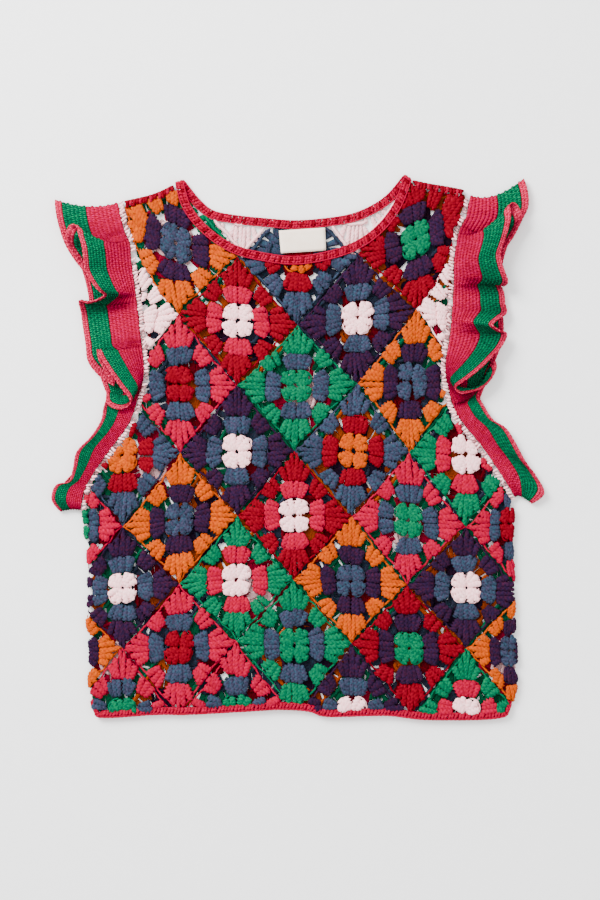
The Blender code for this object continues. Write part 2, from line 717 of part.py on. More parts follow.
def make_shoulder_joins():
    for side, line in (("left", LEFT_SHOULDER), ("right", RIGHT_SHOULDER)):
        raised = offset_line(line, SHOULDER_JOIN / 2 + PART_GAP)

        def surface(place, share):
            x, y = smooth(raised, place)
            rise = 2 * (FOLD_MIDDLE - SHOULDER_JOIN_FLOOR)
            return x, y, SHOULDER_JOIN_FLOOR + share * rise

        run = len(line) - 1 - 2 * SHOULDER_JOIN_END
        places = [SHOULDER_JOIN_END + run * share for share in even_shares(SHOULDER_JOIN_STEPS)]
        shell_strip(f"shoulder_join_{side}", "crimson", surface, places, (0, 0.5, 1),
                    SHOULDER_JOIN, False)


def seam_point(seam, height):
    """The point of an armhole's seam at a height, and the seam's direction there."""
    last = len(seam) - 1
    low, high = 0.0, last
    for _ in range(HALVINGS):
        middle = (low + high) / 2
        if smooth(seam, middle)[1] > height:
            low = middle
        else:
            high = middle
    before, after = smooth(seam, max(low - SEAM_STEP, 0)), smooth(seam, min(low + SEAM_STEP, last))
    run = (after[0] - before[0], after[1] - before[1])
    length = math.hypot(*run)
    return smooth(seam, low), (run[0] / length, run[1] / length)


def ruffle_surfaces(seam, stations, underarm, hand):
    """Surfaces of a ruffle's cloth and of its edging, by place along the stations."""
    count = len(stations)

    def layer_height(place):
        """Middle of the patchwork's front layer, its back layer, or the fold between."""
        place %= count
        nearest = min(place, count - place, abs(place - underarm))
        turn = math.sin(min(nearest, 1) * math.pi / 2) * (FRONT_MIDDLE - BACK_MIDDLE) / 2
        return FOLD_MIDDLE + turn if place < underarm else FOLD_MIDDLE - turn

    def cloth(place, share):
        """A point of the ruffle. Its pleats lean over only in the outer part of its width."""
        seam_y, edge_x, edge_y, edge_z = smooth(stations, place, True)
        (seam_x, seam_y), (along_x, along_y) = seam_point(seam, seam_y)
        outward_x, outward_y = hand * along_y, -hand * along_x
        run_x, run_y = edge_x - seam_x, edge_y - seam_y
        reach = run_x * outward_x + run_y * outward_y
        lean = run_x * along_x + run_y * along_y
        start = EDGING_WIDTH / 2 + CHORD_ROOM
        away = start + (reach - start) * share
        lean *= share * max(share - LEAN_START, 0) / (1 - LEAN_START)
        rise = math.sin(min(max(share, 0), 1) * math.pi / 2)
        base_z = layer_height(place)
        return (seam_x + outward_x * away + along_x * lean,
                seam_y + outward_y * away + along_y * lean,
                base_z + (edge_z - base_z) * rise)

    def edging(place, share):
        (x, y), (along_x, along_y) = seam_point(seam, smooth(stations, place, True)[0])
        reach = (share - 0.5) * EDGING_WIDTH * hand
        return x + along_y * reach, y - along_x * reach, layer_height(place)

    return cloth, edging


def gap_share(cloth, place, share):
    """The share of a ruffle's width that keeps the gap at a colour change."""
    over = Vector(cloth(place, share + SHARE_STEP)) - Vector(cloth(place, share - SHARE_STEP))
    along = Vector(cloth(place + ROW_STEP, share)) - Vector(cloth(place - ROW_STEP, share))
    width = over.cross(along).length / along.length / (2 * SHARE_STEP)
    return min(STRIPE_GAP / width, WIDEST_GAP_SHARE)


def ruffle_places(cloth, count):
    """Places along a ruffle, two to a station and more where the cloth folds over."""
    places = [k / 2 for k in range(2 * count)]
    for _ in range(BEND_ROUNDS):
        closer = []
        for here, after in zip(places, places[1:] + [count]):
            closer.append(here)
            if any(surface_normal(cloth, here, share).angle(surface_normal(cloth, after, share))
                   > BEND_STEP for share in (0.6, 0.9)):
                closer.append((here + after) / 2)
        places = closer
    return places


def make_ruffles():
    for side, seam, stations, underarm, hand in (
            ("left", LEFT_ARMHOLE, LEFT_RUFFLE, LEFT_UNDERARM, 1),
            ("right", RIGHT_ARMHOLE, RIGHT_RUFFLE, RIGHT_UNDERARM, -1)):
        cloth, edging = ruffle_surfaces(seam, stations, underarm, hand)
        places = ruffle_places(cloth, len(stations))
        for stripe in RUFFLE_STRIPES:
            def stripe_cloth(place, part):
                start, end = stripe.start, stripe.end
                if start > 0:
                    start += gap_share(cloth, place, start)
                if end < 1:
                    end -= gap_share(cloth, place, end)
                return cloth(place, start + (end - start) * part)

            shell_strip(f"ruffle_{side}_{stripe.name}", stripe.colour, stripe_cloth, places,
                        even_shares(stripe.steps), RUFFLE_CLOTH, True)
        edging_places = [0.0]
        for place in [k / 2 for k in range(1, 2 * len(stations))]:
            step = math.dist(edging(place, 0.5), edging(edging_places[-1], 0.5))
            if step > EDGING_STEP or place in (underarm, underarm + 0.5):
                edging_places.append(place)
        shell_strip(f"armhole_edging_{side}", "cream", edging, edging_places, (0, 1),
                    EDGING_WALL, True)


def make_label():
    middle = CLOTH + PART_GAP + LABEL_CLOTH / 2
    flat_piece("neck_label", "label", list(LABEL_CORNERS), [], middle, LABEL_CLOTH)


for old in list(bpy.data.objects):
    bpy.data.objects.remove(old)
garment = bpy.data.collections.new("crochet_top")
bpy.context.scene.collection.children.link(garment)
garment_root = bpy.data.objects.new("crochet_top_root", None)
garment.objects.link(garment_root)
for colour_name, colour_value in COLOURS.items():
    add_material(colour_name, colour_value)

make_back()
make_front()
make_neckbands()
make_hem_band()
make_shoulder_joins()
make_ruffles()
make_label()
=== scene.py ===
# Looks of the crochet top. Tables and lengths are millimetres, seen from above with the neck
# at +Y, and every stitch is a strand of yarn laid along its own path.

import math

import bpy
import numpy as np
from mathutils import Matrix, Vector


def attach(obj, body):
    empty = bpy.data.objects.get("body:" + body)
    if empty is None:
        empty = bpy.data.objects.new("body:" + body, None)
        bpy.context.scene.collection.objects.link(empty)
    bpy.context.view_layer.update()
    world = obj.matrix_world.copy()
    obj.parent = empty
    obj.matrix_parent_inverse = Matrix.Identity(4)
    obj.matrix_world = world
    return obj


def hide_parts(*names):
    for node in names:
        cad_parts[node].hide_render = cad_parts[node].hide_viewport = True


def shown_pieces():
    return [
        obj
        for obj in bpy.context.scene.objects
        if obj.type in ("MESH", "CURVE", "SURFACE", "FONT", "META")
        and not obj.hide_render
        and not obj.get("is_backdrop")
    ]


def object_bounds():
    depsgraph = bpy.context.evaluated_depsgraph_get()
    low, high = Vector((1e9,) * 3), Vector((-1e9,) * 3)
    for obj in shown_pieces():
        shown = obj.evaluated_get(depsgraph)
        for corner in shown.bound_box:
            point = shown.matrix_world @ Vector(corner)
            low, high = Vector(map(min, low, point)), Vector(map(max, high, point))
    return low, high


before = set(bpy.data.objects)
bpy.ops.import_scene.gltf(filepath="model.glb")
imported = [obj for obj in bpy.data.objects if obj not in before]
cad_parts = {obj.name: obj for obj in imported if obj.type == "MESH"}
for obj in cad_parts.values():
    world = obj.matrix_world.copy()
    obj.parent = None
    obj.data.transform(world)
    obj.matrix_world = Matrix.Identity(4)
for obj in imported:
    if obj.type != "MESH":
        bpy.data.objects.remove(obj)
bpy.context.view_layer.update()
print("frame loaded:", len(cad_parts), "nodes")

mm = 0.001
chance = np.random.default_rng(14)

# Heights of the two layers of cloth as the top lies, and of the roll that joins them at the sides.
layers = {"back": 1.75, "front": 5.0, "fold": 3.35, "bend": 1.65, "least": 0.06}
# How far the patchwork stops short of the seams, turns under, or runs under the bands.
panel = {"seam": 1.6, "turn": 4.0, "shoulder": 2, "underNeck": 3.5, "underHem": 6.0}
# A square from its centre to a corner.
halfDiagonal = 61

# Rows of the patchwork from the neck down: height, and the back's middle and pitch.
rowNames = ("above", "a", "b", "c", "d", "e", "f", "g", "h", "below")
rowHeights = (267, 198, 127, 66, -10, -72, -137, -200, -269, -325)
backMiddles = (0, 0, 1, 3, 7, 11, 11, 11, 11, 11)
backShift = (0.5, -8.8)
backPitches = (56, 56, 55, 53, 51, 49, 49, 49, 49, 49)
columnPlaces = (-231, -175, -119, -61, -1, 55, 114, 168, 225)

# Front squares: row, column, centre, and the yarn of each round from the centre.
frontSquares = (
    ("a", 2, -121, 203, "slate", "navy", "orange"),
    ("a", 4, 1, 178, "orange", "crimson", "slate"),
    ("a", 6, 120, 208, "green", "navy", "crimson"),
    ("b", 3, -62, 125, "cream", "pink", "crimson"),
    ("b", 5, 62, 127, "cream", "slate", "navy"),
    ("c", 2, -122, 67, "crimson", "slate", "pink"),
    ("c", 4, 1, 59, "green", "slate", "green"),
    ("c", 6, 119, 72, "slate", "navy", "orange"),
    ("d", 1, -172, -16, "orange", "crimson", "slate"),
    ("d", 3, -62, -3, "cream", "slate", "navy"),
    ("d", 5, 56, -2, "orange", "crimson", "slate"),
    ("d", 7, 167, -18, "cream", "pink", "green"),
    ("e", 0, -231, -90, "green", "slate", "pink"),
    ("e", 2, -118, -68, "slate", "navy", "orange"),
    ("e", 4, -2, -68, "cream", "pink", "crimson"),
    ("e", 6, 111, -71, "green", "slate", "pink"),
    ("e", 8, 225, -88, "crimson", "slate", "pink"),
    ("f", 1, -174, -142, "cream", "slate", "navy"),
    ("f", 3, -62, -133, "cream", "pink", "green"),
    ("f", 5, 54, -133, "slate", "navy", "orange"),
    ("f", 7, 165, -141, "cream", "slate", "navy"),
    ("g", 0, -231, -204, "slate", "navy", "orange"),
    ("g", 2, -119, -200, "crimson", "slate", "pink"),
    ("g", 4, -3, -195, "green", "slate", "green"),
    ("g", 6, 111, -203, "green", "navy", "crimson"),
    ("g", 8, 225, -200, "slate", "navy", "orange"),
    ("h", 1, -178, -254, "green", "slate", "pink"),
    ("h", 3, -60, -244, "green", "slate", "pink"),
    ("h", 5, 56, -250, "cream", "slate", "navy"),
    ("h", 7, 171, -256, "cream", "pink", "green"),
)
# The top squares' outer corners at the shoulders, and where their armhole sides bend. The fills
# are places in the patchwork: side, row, column and centre in front, row and column behind.
shoulderCorners = {("a", 2): (-172, 240), ("a", 6): (166, 251)}
armholeCorners = (("a", 1, -154, 179.5), ("a", 7, 149, 184))
frontFills = (("left", "b", 1, -175, 138), ("right", "b", 7, 175, 147))
backFills = ((0, 3), (0, 5))
neckMix = ("crimson", "slate", "slate")
backMixes = (
    ("crimson", "slate", "green"),
    ("cream", "slate", "navy"),
    ("slate", "navy", "orange"),
    ("green", "slate", "pink"),
    ("orange", "crimson", "slate"),
    ("cream", "pink", "crimson"),
    ("cream", "pink", "green"),
    ("green", "navy", "crimson"),
)

leftSide = ((-212, -66), (-209, -97), (-207, -134), (-206, -146), (-209, -168),
            (-207, -212), (-206, -250))
rightSide = ((214, -66), (212, -97), (215, -136), (215, -174), (217, -212), (217, -238),
             (213, -256))
hemBottom = ((-206, -266), (-194, -270), (-141, -267), (-110, -267), (-54, -264), (-16, -262),
             (12, -264), (30, -269), (88, -268), (126, -272), (183, -272), (206, -269),
             (214, -262))
leftShoulder = ((-172.5, 243.5), (-156, 247), (-139, 252), (-123, 259.8))
rightShoulder = ((114.5, 264.4), (130, 261), (148, 258), (166, 254.5))
frontNeck = ((-118, 264), (-110, 239), (-91, 216), (-66, 199), (-39, 191), (-3, 186.5),
             (33, 192), (62, 203), (84, 220), (100, 242), (110, 268))
backNeck = ((-117, 265), (-101, 245), (-86, 233), (-64, 228), (-31, 224.5), (-3, 222.5),
            (26, 224.5), (54, 229), (76, 238), (93, 250), (109, 269))
leftArmhole = ((-176.5, 244.5), (-170.5, 218.5), (-164.5, 204.5), (-163.0, 186.0), (-159.5, 159.5),
               (-156.5, 136.5), (-154.0, 113.0), (-150.5, 77.5), (-155.0, 54.5), (-163.5, 27.5),
               (-174.0, 10.5), (-195.5, -18.5), (-209.5, -42.5), (-213.5, -62.5))
rightArmhole = ((169.5, 251.5), (165.5, 231.5), (159.5, 219.5), (156.5, 207.5), (153.5, 185.5),
                (153.0, 160.0), (150.0, 117.5), (145.5, 87.5), (146.5, 67.5), (153.0, 40.0),
                (162.5, 23.5), (182.5, -1.5), (203.5, -32.5), (214.5, -51.0))


def unit(vectors):
    return vectors / np.linalg.norm(vectors, axis=-1, keepdims=True)


def leftOf(vectors):
    return np.stack([-vectors[:, 1], vectors[:, 0]], 1)


def atHeight(points, height):
    return np.column_stack([points, np.full(len(points), height)])


# A rounded curve through the rows of a table, at places counted in rows.
def roundCurve(rows, places, closed):
    rows = np.asarray(rows, float)
    first = np.floor(places).astype(int)
    part = (places - first)[:, None]
    picks = [first + k for k in (-1, 0, 1, 2)]
    if closed:
        before, here, after, beyond = (rows[k % len(rows)] for k in picks)
    else:
        before, here, after, beyond = (rows[np.clip(k, 0, len(rows) - 1)] for k in picks)
    return 0.5 * (2 * here + (after - before) * part
                  + (2 * before - 5 * here + 4 * after - beyond) * part ** 2
                  + (-before + 3 * here - 3 * after + beyond) * part ** 3)


def drawn(rows, closed=False, steps=24):
    spans = len(rows) if closed else len(rows) - 1
    places = np.linspace(0, spans, spans * steps + 1)
    return roundCurve(rows, places, closed)


def lengthsOf(points):
    return np.concatenate([[0], np.cumsum(np.linalg.norm(np.diff(points, axis=0), axis=1))])


def respaced(points, pitch, closed=False):
    points = np.asarray(points, float)
    lengths = lengthsOf(points)
    count = max(2, round(lengths[-1] / pitch))
    wanted = np.linspace(0, lengths[-1], count + 1)
    if closed:
        wanted = wanted[:-1]
    return np.stack([np.interp(wanted, lengths, axis) for axis in points.T], 1)


def sideways(points, distance):
    points = np.asarray(points, float)
    return points + leftOf(unit(np.gradient(points, axis=0))) * distance


def isInside(points, polygon):
    ends = np.roll(polygon, -1, 0)
    x, y = points[:, 0][:, None], points[:, 1][:, None]
    spans = (polygon[:, 1] > y) != (ends[:, 1] > y)
    rise = np.where(ends[:, 1] == polygon[:, 1], 1e-9, ends[:, 1] - polygon[:, 1])
    reach = polygon[:, 0] + (y - polygon[:, 1]) / rise * (ends[:, 0] - polygon[:, 0])
    return (spans & (x < reach)).sum(1) % 2 == 1


def panelOutline(neck, turn):
    neckEdge = sideways(drawn(neck), -panel["underNeck"])
    low, high = leftShoulder[-1][0] + panel["shoulder"], rightShoulder[0][0] - panel["shoulder"]
    hem = np.array(hemBottom) + (0, panel["underHem"])
    runs = [leftShoulder, neckEdge[(neckEdge[:, 0] > low) & (neckEdge[:, 0] < high)], rightShoulder,
            sideways(drawn(rightArmhole), -panel["seam"])[1:-1],
            np.array(rightSide) + (turn, 0), hem[::-1], np.array(leftSide)[::-1] - (turn, 0),
            sideways(drawn(leftArmhole), panel["seam"])[-2:0:-1]]
    return np.concatenate(runs)


# Centres of the squares, and the corners between them, in half squares along each row.
def frontLattice():
    centres = {(rowNames.index(row), column): (x, y) for row, column, x, y, *_ in frontSquares}
    centres.update({(rowNames.index(row), column): (x, y) for _, row, column, x, y in frontFills})
    lattice = {}
    for row in range(len(rowNames)):
        for column in range(-1, 10):
            if (row, column) in centres:
                lattice[row, column] = centres[row, column]
                continue
            sides = [centres.get((row, column + k)) for k in (-1, 1)]
            ends = [centres.get((row + k, column)) for k in (-1, 1)]
            edge = columnPlaces[min(max(column, 0), 8)]
            x = sum(side[0] for side in sides) / 2 if all(sides) else edge
            heights = [(p[1] + q[1]) / 2 for p, q in (sides, ends) if p and q]
            if rowNames[row] in ("above", "h", "below") or not heights:
                heights = [rowHeights[row]]
            lattice[row, column] = (x, sum(heights) / len(heights))
    lattice.update({(rowNames.index(row), column): place for row, column, *place in armholeCorners})
    return lattice


def backLattice():
    points = {(row, column): (backMiddles[row] + (column - 4) * backPitches[row] + backShift[0],
                              rowHeights[row] + backShift[1])
              for row in range(len(rowNames)) for column in range(-2, 11)}
    for column in range(-2, 11):
        x, y = points[0, column]
        points[-1, column] = (x, 2 * y - points[1, column][1])
    return points


def cornersOf(lattice, row, column):
    # The last two points say how far the lower two sides bulge.
    corners = np.array([lattice[row - 1, column], lattice[row, column + 1],
                        lattice[row + 1, column], lattice[row, column - 1], (0, 0), (0, 0)], float)
    outer = shoulderCorners.get((rowNames[row], column))
    if outer:
        index = 3 if outer[0] < 0 else 1
        bend = corners[index].copy()
        corners[index] = outer
        corners[5 if index == 3 else 4] = bend - (corners[2] + corners[index]) / 2
    return corners


# Lays points of one quarter of a square between the square's own corners.
def placed(points, corners, quarter):
    points = np.asarray(points, float) / halfDiagonal
    for _ in range(quarter):
        points = np.stack([points[:, 1], -points[:, 0]], 1)
    a, b = points[:, 1] + points[:, 0], points[:, 1] - points[:, 0]
    shares = np.stack([(1 + a) * (1 + b), (1 + a) * (1 - b), (1 - a) * (1 - b), (1 - a) * (1 + b),
                       2 * (1 - b) * (1 - a ** 2), 2 * (1 - a) * (1 - b ** 2)], 1)
    return shares @ corners / 4


# sRGB dye of each yarn, its darker colour for painted shade in the furrows and for mottling, and how far
# its strands vary.
yarns = {
    "crimson": {"dye": (110, 0, 18), "heather": (124, 0, 26), "deep": (58, 0, 6), "vary": 0.13},
    "pink": {"dye": (156, 0, 40), "heather": (168, 0, 56), "deep": (104, 0, 16), "vary": 0.15},
    "rose": {"dye": (178, 34, 70), "heather": (186, 50, 84), "deep": (120, 6, 34), "vary": 0.10},
    "cream": {"dye": (255, 211, 212), "heather": (255, 194, 200), "deep": (238, 158, 164), "vary": 0.06},
    "orange": {"dye": (176, 64, 0), "heather": (184, 78, 2), "deep": (108, 30, 0), "vary": 0.15},
    "navy": {"dye": (34, 18, 46), "heather": (52, 18, 40), "deep": (14, 6, 20), "vary": 0.24},
    "slate": {"dye": (52, 50, 70), "heather": (38, 62, 78), "deep": (24, 24, 40), "vary": 0.34},
    "green": {"dye": (0, 92, 62), "heather": (0, 106, 66), "deep": (0, 46, 30), "vary": 0.16},
}
# Ply and fuzz of a strand, tones and painted furrow shade that every yarn shares, stitches of the ruffles'
# rows, and tape with painted shade in its gaps.
twist = {"perCm": 2.6, "plies": 3.0, "wave": 0.7, "fibres": (6, 26, 1), "fibreShare": 0.5,
         "fuzz": 2600, "fuzzShare": 0.35, "depth": 0.35, "strength": 0.9}
# furrow and groove set the painted shade in strand furrows and ply grooves; the rest is random mottle and
# streaks.
tonesAndShades = {"furrow": 0.28, "groove": 0.35, "mottle": 160, "fleck": 560, "fleckShare": 1.4,
         "middle": 1.2, "swing": 5.0, "streak": 330, "streakRange": (0.42, 0.62)}
knit = {"swayScale": 90, "sway": 0.7, "foot": 0.1, "open": 0.26, "leg": (0.02, 0.2),
        "pitWide": 3.2, "pitTall": 4.5, "pitPlace": 0.93, "pit": (0.25, 0.8), "pitDepth": 0.8,
        "fuzz": 2400, "fuzzShare": 0.4, "depth": 1.4, "legShade": 0.85, "pitShade": 1.1,
        "bright": {"pink": (1.34, 1.0, 1.8), "green": (1.34,) * 3, "rose": (1.34,) * 3}}
cotton = {"Roughness": 0.88, "Specular IOR Level": 0.03, "Sheen Weight": 0.04, "Sheen Roughness": 0.5}
tape = {"dye": (252, 238, 222), "deep": (232, 206, 184), "threads": (3600.0, 2800.0),
        "mottle": 0.8, "gaps": 0.6, "depth": 0.12, "roughness": 0.7}


def wire(tree, target, value):
    if isinstance(value, bpy.types.NodeSocket):
        tree.links.new(value, target)
    else:
        target.default_value = value


def calc(tree, operation, *values):
    node = tree.nodes.new("ShaderNodeMath")
    node.operation = operation
    for target, value in zip(node.inputs, values):
        wire(tree, target, value)
    return node.outputs[0]


def gapFrom(tree, value, middle):
    return calc(tree, "ABSOLUTE", calc(tree, "SUBTRACT", value, middle))


def blended(tree, share, low, high):
    node = tree.nodes.new("ShaderNodeMix")
    node.data_type = "RGBA"
    for target, value in ((node.inputs[0], share), (node.inputs[6], low), (node.inputs[7], high)):
        wire(tree, target, value)
    return node.outputs[2]


def ramped(tree, value, ends, low=0.0, high=1.0, kind="LINEAR"):
    node = tree.nodes.new("ShaderNodeMapRange")
    node.interpolation_type = kind
    for target, number in zip(node.inputs[:5], (value, *ends, low, high)):
        wire(tree, target, number)
    return node.outputs[0]


def noiseOf(tree, source, scale, detail=2.0, rough=0.6):
    node = tree.nodes.new("ShaderNodeTexNoise")
    wire(tree, node.inputs["Vector"], source)
    for name, value in (("Scale", scale), ("Detail", detail), ("Roughness", rough)):
        node.inputs[name].default_value = value
    return node.outputs["Fac"]


def partsOf(tree, vector):
    node = tree.nodes.new("ShaderNodeSeparateXYZ")
    wire(tree, node.inputs[0], vector)
    return node.outputs


def placeOf(tree):
    return tree.nodes.new("ShaderNodeTexCoord").outputs["Object"]


def uvOf(tree, layer):
    node = tree.nodes.new("ShaderNodeUVMap")
    node.uv_map = layer
    return node.outputs["UV"]


def bumpOf(tree, height, depth, strength):
    node = tree.nodes.new("ShaderNodeBump")
    wire(tree, node.inputs["Height"], height)
    node.inputs["Distance"].default_value = depth * mm
    node.inputs["Strength"].default_value = strength
    return node.outputs["Normal"]


def newGroup(name, wanted, given):
    tree = bpy.data.node_groups.new(name, "ShaderNodeTree")
    for side, sockets in (("INPUT", wanted), ("OUTPUT", given)):
        for socket, kind in sockets.items():
            tree.interface.new_socket(socket, in_out=side, socket_type="NodeSocket" + kind)
    return tree, tree.nodes.new("NodeGroupInput").outputs, tree.nodes.new("NodeGroupOutput").inputs


# Plies turn along each strand, with fibres drawn out along them.
def plyTwist():
    tree, _, given = newGroup("plyTwist", {}, {"Groove": "Float", "Normal": "Vector"})
    strand = uvOf(tree, "strand")
    along, around, _ = partsOf(tree, strand)
    phase = calc(tree, "MULTIPLY_ADD", along, twist["perCm"],
                 calc(tree, "MULTIPLY", around, twist["plies"]))
    wave = calc(tree, "ABSOLUTE", calc(tree, "SINE", calc(tree, "MULTIPLY", phase, math.pi)))
    stretched = tree.nodes.new("ShaderNodeMapping")
    wire(tree, stretched.inputs["Vector"], strand)
    stretched.inputs["Scale"].default_value = twist["fibres"]
    fibres = noiseOf(tree, stretched.outputs[0], 1.0, 3.0, 0.7)
    fuzz = calc(tree, "MULTIPLY", noiseOf(tree, placeOf(tree), twist["fuzz"]), twist["fuzzShare"])
    height = calc(tree, "MULTIPLY_ADD", wave, twist["wave"],
                  calc(tree, "MULTIPLY_ADD", fibres, twist["fibreShare"], fuzz))
    # Groove marks the furrows between plies, which the tone group darkens as painted shade.
    wire(tree, given["Groove"], calc(tree, "SUBTRACT", 1.0, wave))
    wire(tree, given["Normal"], bumpOf(tree, height, twist["depth"], twist["strength"]))
    return tree


# Heathered dye with strands that differ, plus painted shade: darker in the furrows and ply grooves, and
# darker by the painted shade laid per vertex.
def yarnToneAndShade():
    tree, wanted, given = newGroup("yarnToneAndShade", {"Dye": "Color", "Heather": "Color", "Deep": "Color",
                                                "Vary": "Float", "Groove": "Float"},
                                   {"Colour": "Color"})
    wear = tree.nodes.new("ShaderNodeAttribute")
    wear.attribute_name = "wear"
    tone, furrow, shade = partsOf(tree, wear.outputs["Vector"])
    where = placeOf(tree)
    mottle = noiseOf(tree, where, tonesAndShades["mottle"], 3.0, 0.65)
    fleck = noiseOf(tree, where, tonesAndShades["fleck"])
    swing = calc(tree, "SUBTRACT", calc(tree, "MULTIPLY_ADD", fleck, tonesAndShades["fleckShare"], mottle),
                 tonesAndShades["middle"])
    swing = calc(tree, "MULTIPLY", calc(tree, "MULTIPLY", swing, tonesAndShades["swing"]), wanted["Vary"])
    streak = ramped(tree, noiseOf(tree, where, tonesAndShades["streak"], 2.0, 0.7), tonesAndShades["streakRange"])
    # Painted shade in the strand's furrows and ply grooves.
    depth = calc(tree, "MULTIPLY_ADD", furrow, tonesAndShades["furrow"],
                 calc(tree, "MULTIPLY", wanted["Groove"], tonesAndShades["groove"]))
    clamp = tree.nodes.new("ShaderNodeClamp")
    wire(tree, clamp.inputs[0], calc(tree, "ADD", depth, swing))
    heathered = blended(tree, streak, wanted["Dye"], wanted["Heather"])
    colour = blended(tree, clamp.outputs[0], heathered, wanted["Deep"])
    level = calc(tree, "MULTIPLY_ADD", calc(tree, "SUBTRACT", tone, 0.5), wanted["Vary"], 1.0)
    gain = tree.nodes.new("ShaderNodeVectorMath")
    gain.operation = "SCALE"
    wire(tree, gain.inputs[0], colour)
    # Painted shade laid per vertex darkens the colour.
    wire(tree, gain.inputs["Scale"], calc(tree, "MULTIPLY", level, calc(tree, "SUBTRACT", 1.0, shade)))
    wire(tree, given["Colour"], gain.outputs[0])
    return tree


# Two leaning legs and a pit for each stitch of a row.
def stitchField():
    tree, _, given = newGroup("stitchField", {}, {"Leg": "Float", "Dot": "Float", "Normal": "Vector"})
    stitch, row, _ = partsOf(tree, uvOf(tree, "stitch"))
    where = placeOf(tree)
    sway = calc(tree, "MULTIPLY", calc(tree, "SUBTRACT", noiseOf(tree, where, knit["swayScale"], 2.0, 0.5),
                                       0.5), knit["sway"])
    shifted = calc(tree, "ADD", calc(tree, "MULTIPLY_ADD", calc(tree, "FLOOR", row), 0.5, stitch), sway)
    across = gapFrom(tree, calc(tree, "FRACT", shifted), 0.5)
    upward = calc(tree, "FRACT", row)
    spread = calc(tree, "MULTIPLY_ADD", upward, knit["open"], knit["foot"])
    leg = ramped(tree, gapFrom(tree, across, spread), knit["leg"], 1.0, 0.0, "SMOOTHSTEP")
    ridge = calc(tree, "SINE", calc(tree, "MULTIPLY", upward, math.pi))
    body = calc(tree, "MULTIPLY", leg, calc(tree, "POWER", ridge, 0.5))
    nearPit = calc(tree, "ADD", calc(tree, "MULTIPLY", across, knit["pitWide"]),
                   calc(tree, "MULTIPLY", gapFrom(tree, upward, knit["pitPlace"]), knit["pitTall"]))
    dot = ramped(tree, nearPit, knit["pit"], 1.0, 0.0, "SMOOTHSTEP")
    fuzz = noiseOf(tree, where, knit["fuzz"], 3.0, 0.65)
    height = calc(tree, "SUBTRACT", calc(tree, "MULTIPLY_ADD", fuzz, knit["fuzzShare"], body),
                  calc(tree, "MULTIPLY", dot, knit["pitDepth"]))
    wire(tree, given["Leg"], body)
    wire(tree, given["Dot"], dot)
    wire(tree, given["Normal"], bumpOf(tree, height, knit["depth"], 1.0))
    return tree


def linear(colour):
    shares = np.array(colour) / 255
    values = np.where(shares <= 0.04045, shares / 12.92, ((shares + 0.055) / 1.055) ** 2.4)
    return (*values.tolist(), 1.0)


def addGroup(tree, group, **values):
    node = tree.nodes.new("ShaderNodeGroup")
    node.node_tree = group
    for name, value in values.items():
        wire(tree, node.inputs[name], value)
    return node.outputs


def newMaterial(name):
    material = bpy.data.materials.new(name)
    material.use_nodes = True
    tree = material.node_tree
    return material, tree, tree.nodes["Principled BSDF"].inputs


# Base colour from the dye, darkened by painted shade through the tone group.
def dyedShadedCotton(tree, inputs, yarn, bright, groove, normal):
    dye, heather, deep = (linear(np.minimum(np.multiply(yarn[part], bright), 255))
                          for part in ("dye", "heather", "deep"))
    toned = addGroup(tree, groups["tone"], Dye=dye, Heather=heather, Deep=deep, Vary=yarn["vary"],
                     Groove=groove)
    wire(tree, inputs["Base Color"], toned["Colour"])
    wire(tree, inputs["Normal"], normal)
    for name, value in cotton.items():
        inputs[name].default_value = value
    inputs["Sheen Tint"].default_value = linear(yarn["dye"])


def yarnMaterial(name):
    material, tree, inputs = newMaterial(name + "Yarn")
    twisted = addGroup(tree, groups["twist"])
    dyedShadedCotton(tree, inputs, yarns[name], 1.0, twisted["Groove"], twisted["Normal"])
    return material


def rowMaterial(name):
    material, tree, inputs = newMaterial(name + "Rows")
    field = addGroup(tree, groups["field"])
    # Painted shade between each stitch's legs and in its pits.
    furrow = calc(tree, "MULTIPLY_ADD", calc(tree, "SUBTRACT", 1.0, field["Leg"]), knit["legShade"],
                  calc(tree, "MULTIPLY", field["Dot"], knit["pitShade"]))
    groove = calc(tree, "MULTIPLY", furrow, 1 / tonesAndShades["groove"])
    dyedShadedCotton(tree, inputs, yarns[name], knit["bright"][name], groove, field["Normal"])
    return material


def tapeMaterial():
    material, tree, inputs = newMaterial("labelTape")
    where = placeOf(tree)
    threads = [calc(tree, "ABSOLUTE", calc(tree, "SINE", calc(tree, "MULTIPLY", axis, pitch)))
               for axis, pitch in zip(partsOf(tree, where)[:2], tape["threads"])]
    weave = calc(tree, "MAXIMUM", *threads)
    # Painted shade in the gaps between threads, over a random mottle.
    gaps = calc(tree, "MULTIPLY", calc(tree, "SUBTRACT", 1.0, weave), tape["gaps"])
    tone = calc(tree, "MULTIPLY_ADD", noiseOf(tree, where, 140, 3.0), tape["mottle"], gaps)
    wire(tree, inputs["Base Color"], blended(tree, tone, linear(tape["dye"]), linear(tape["deep"])))
    wire(tree, inputs["Normal"], bumpOf(tree, weave, tape["depth"], 0.8))
    inputs["Roughness"].default_value = tape["roughness"]
    return material


groups = {"twist": plyTwist(), "tone": yarnToneAndShade(), "field": stitchField()}
materials = {"label": tapeMaterial()}
for name in yarns:
    materials[name] = yarnMaterial(name)
for name in knit["bright"]:
    materials[name + "Rows"] = rowMaterial(name)
print("materials made:", len(materials))
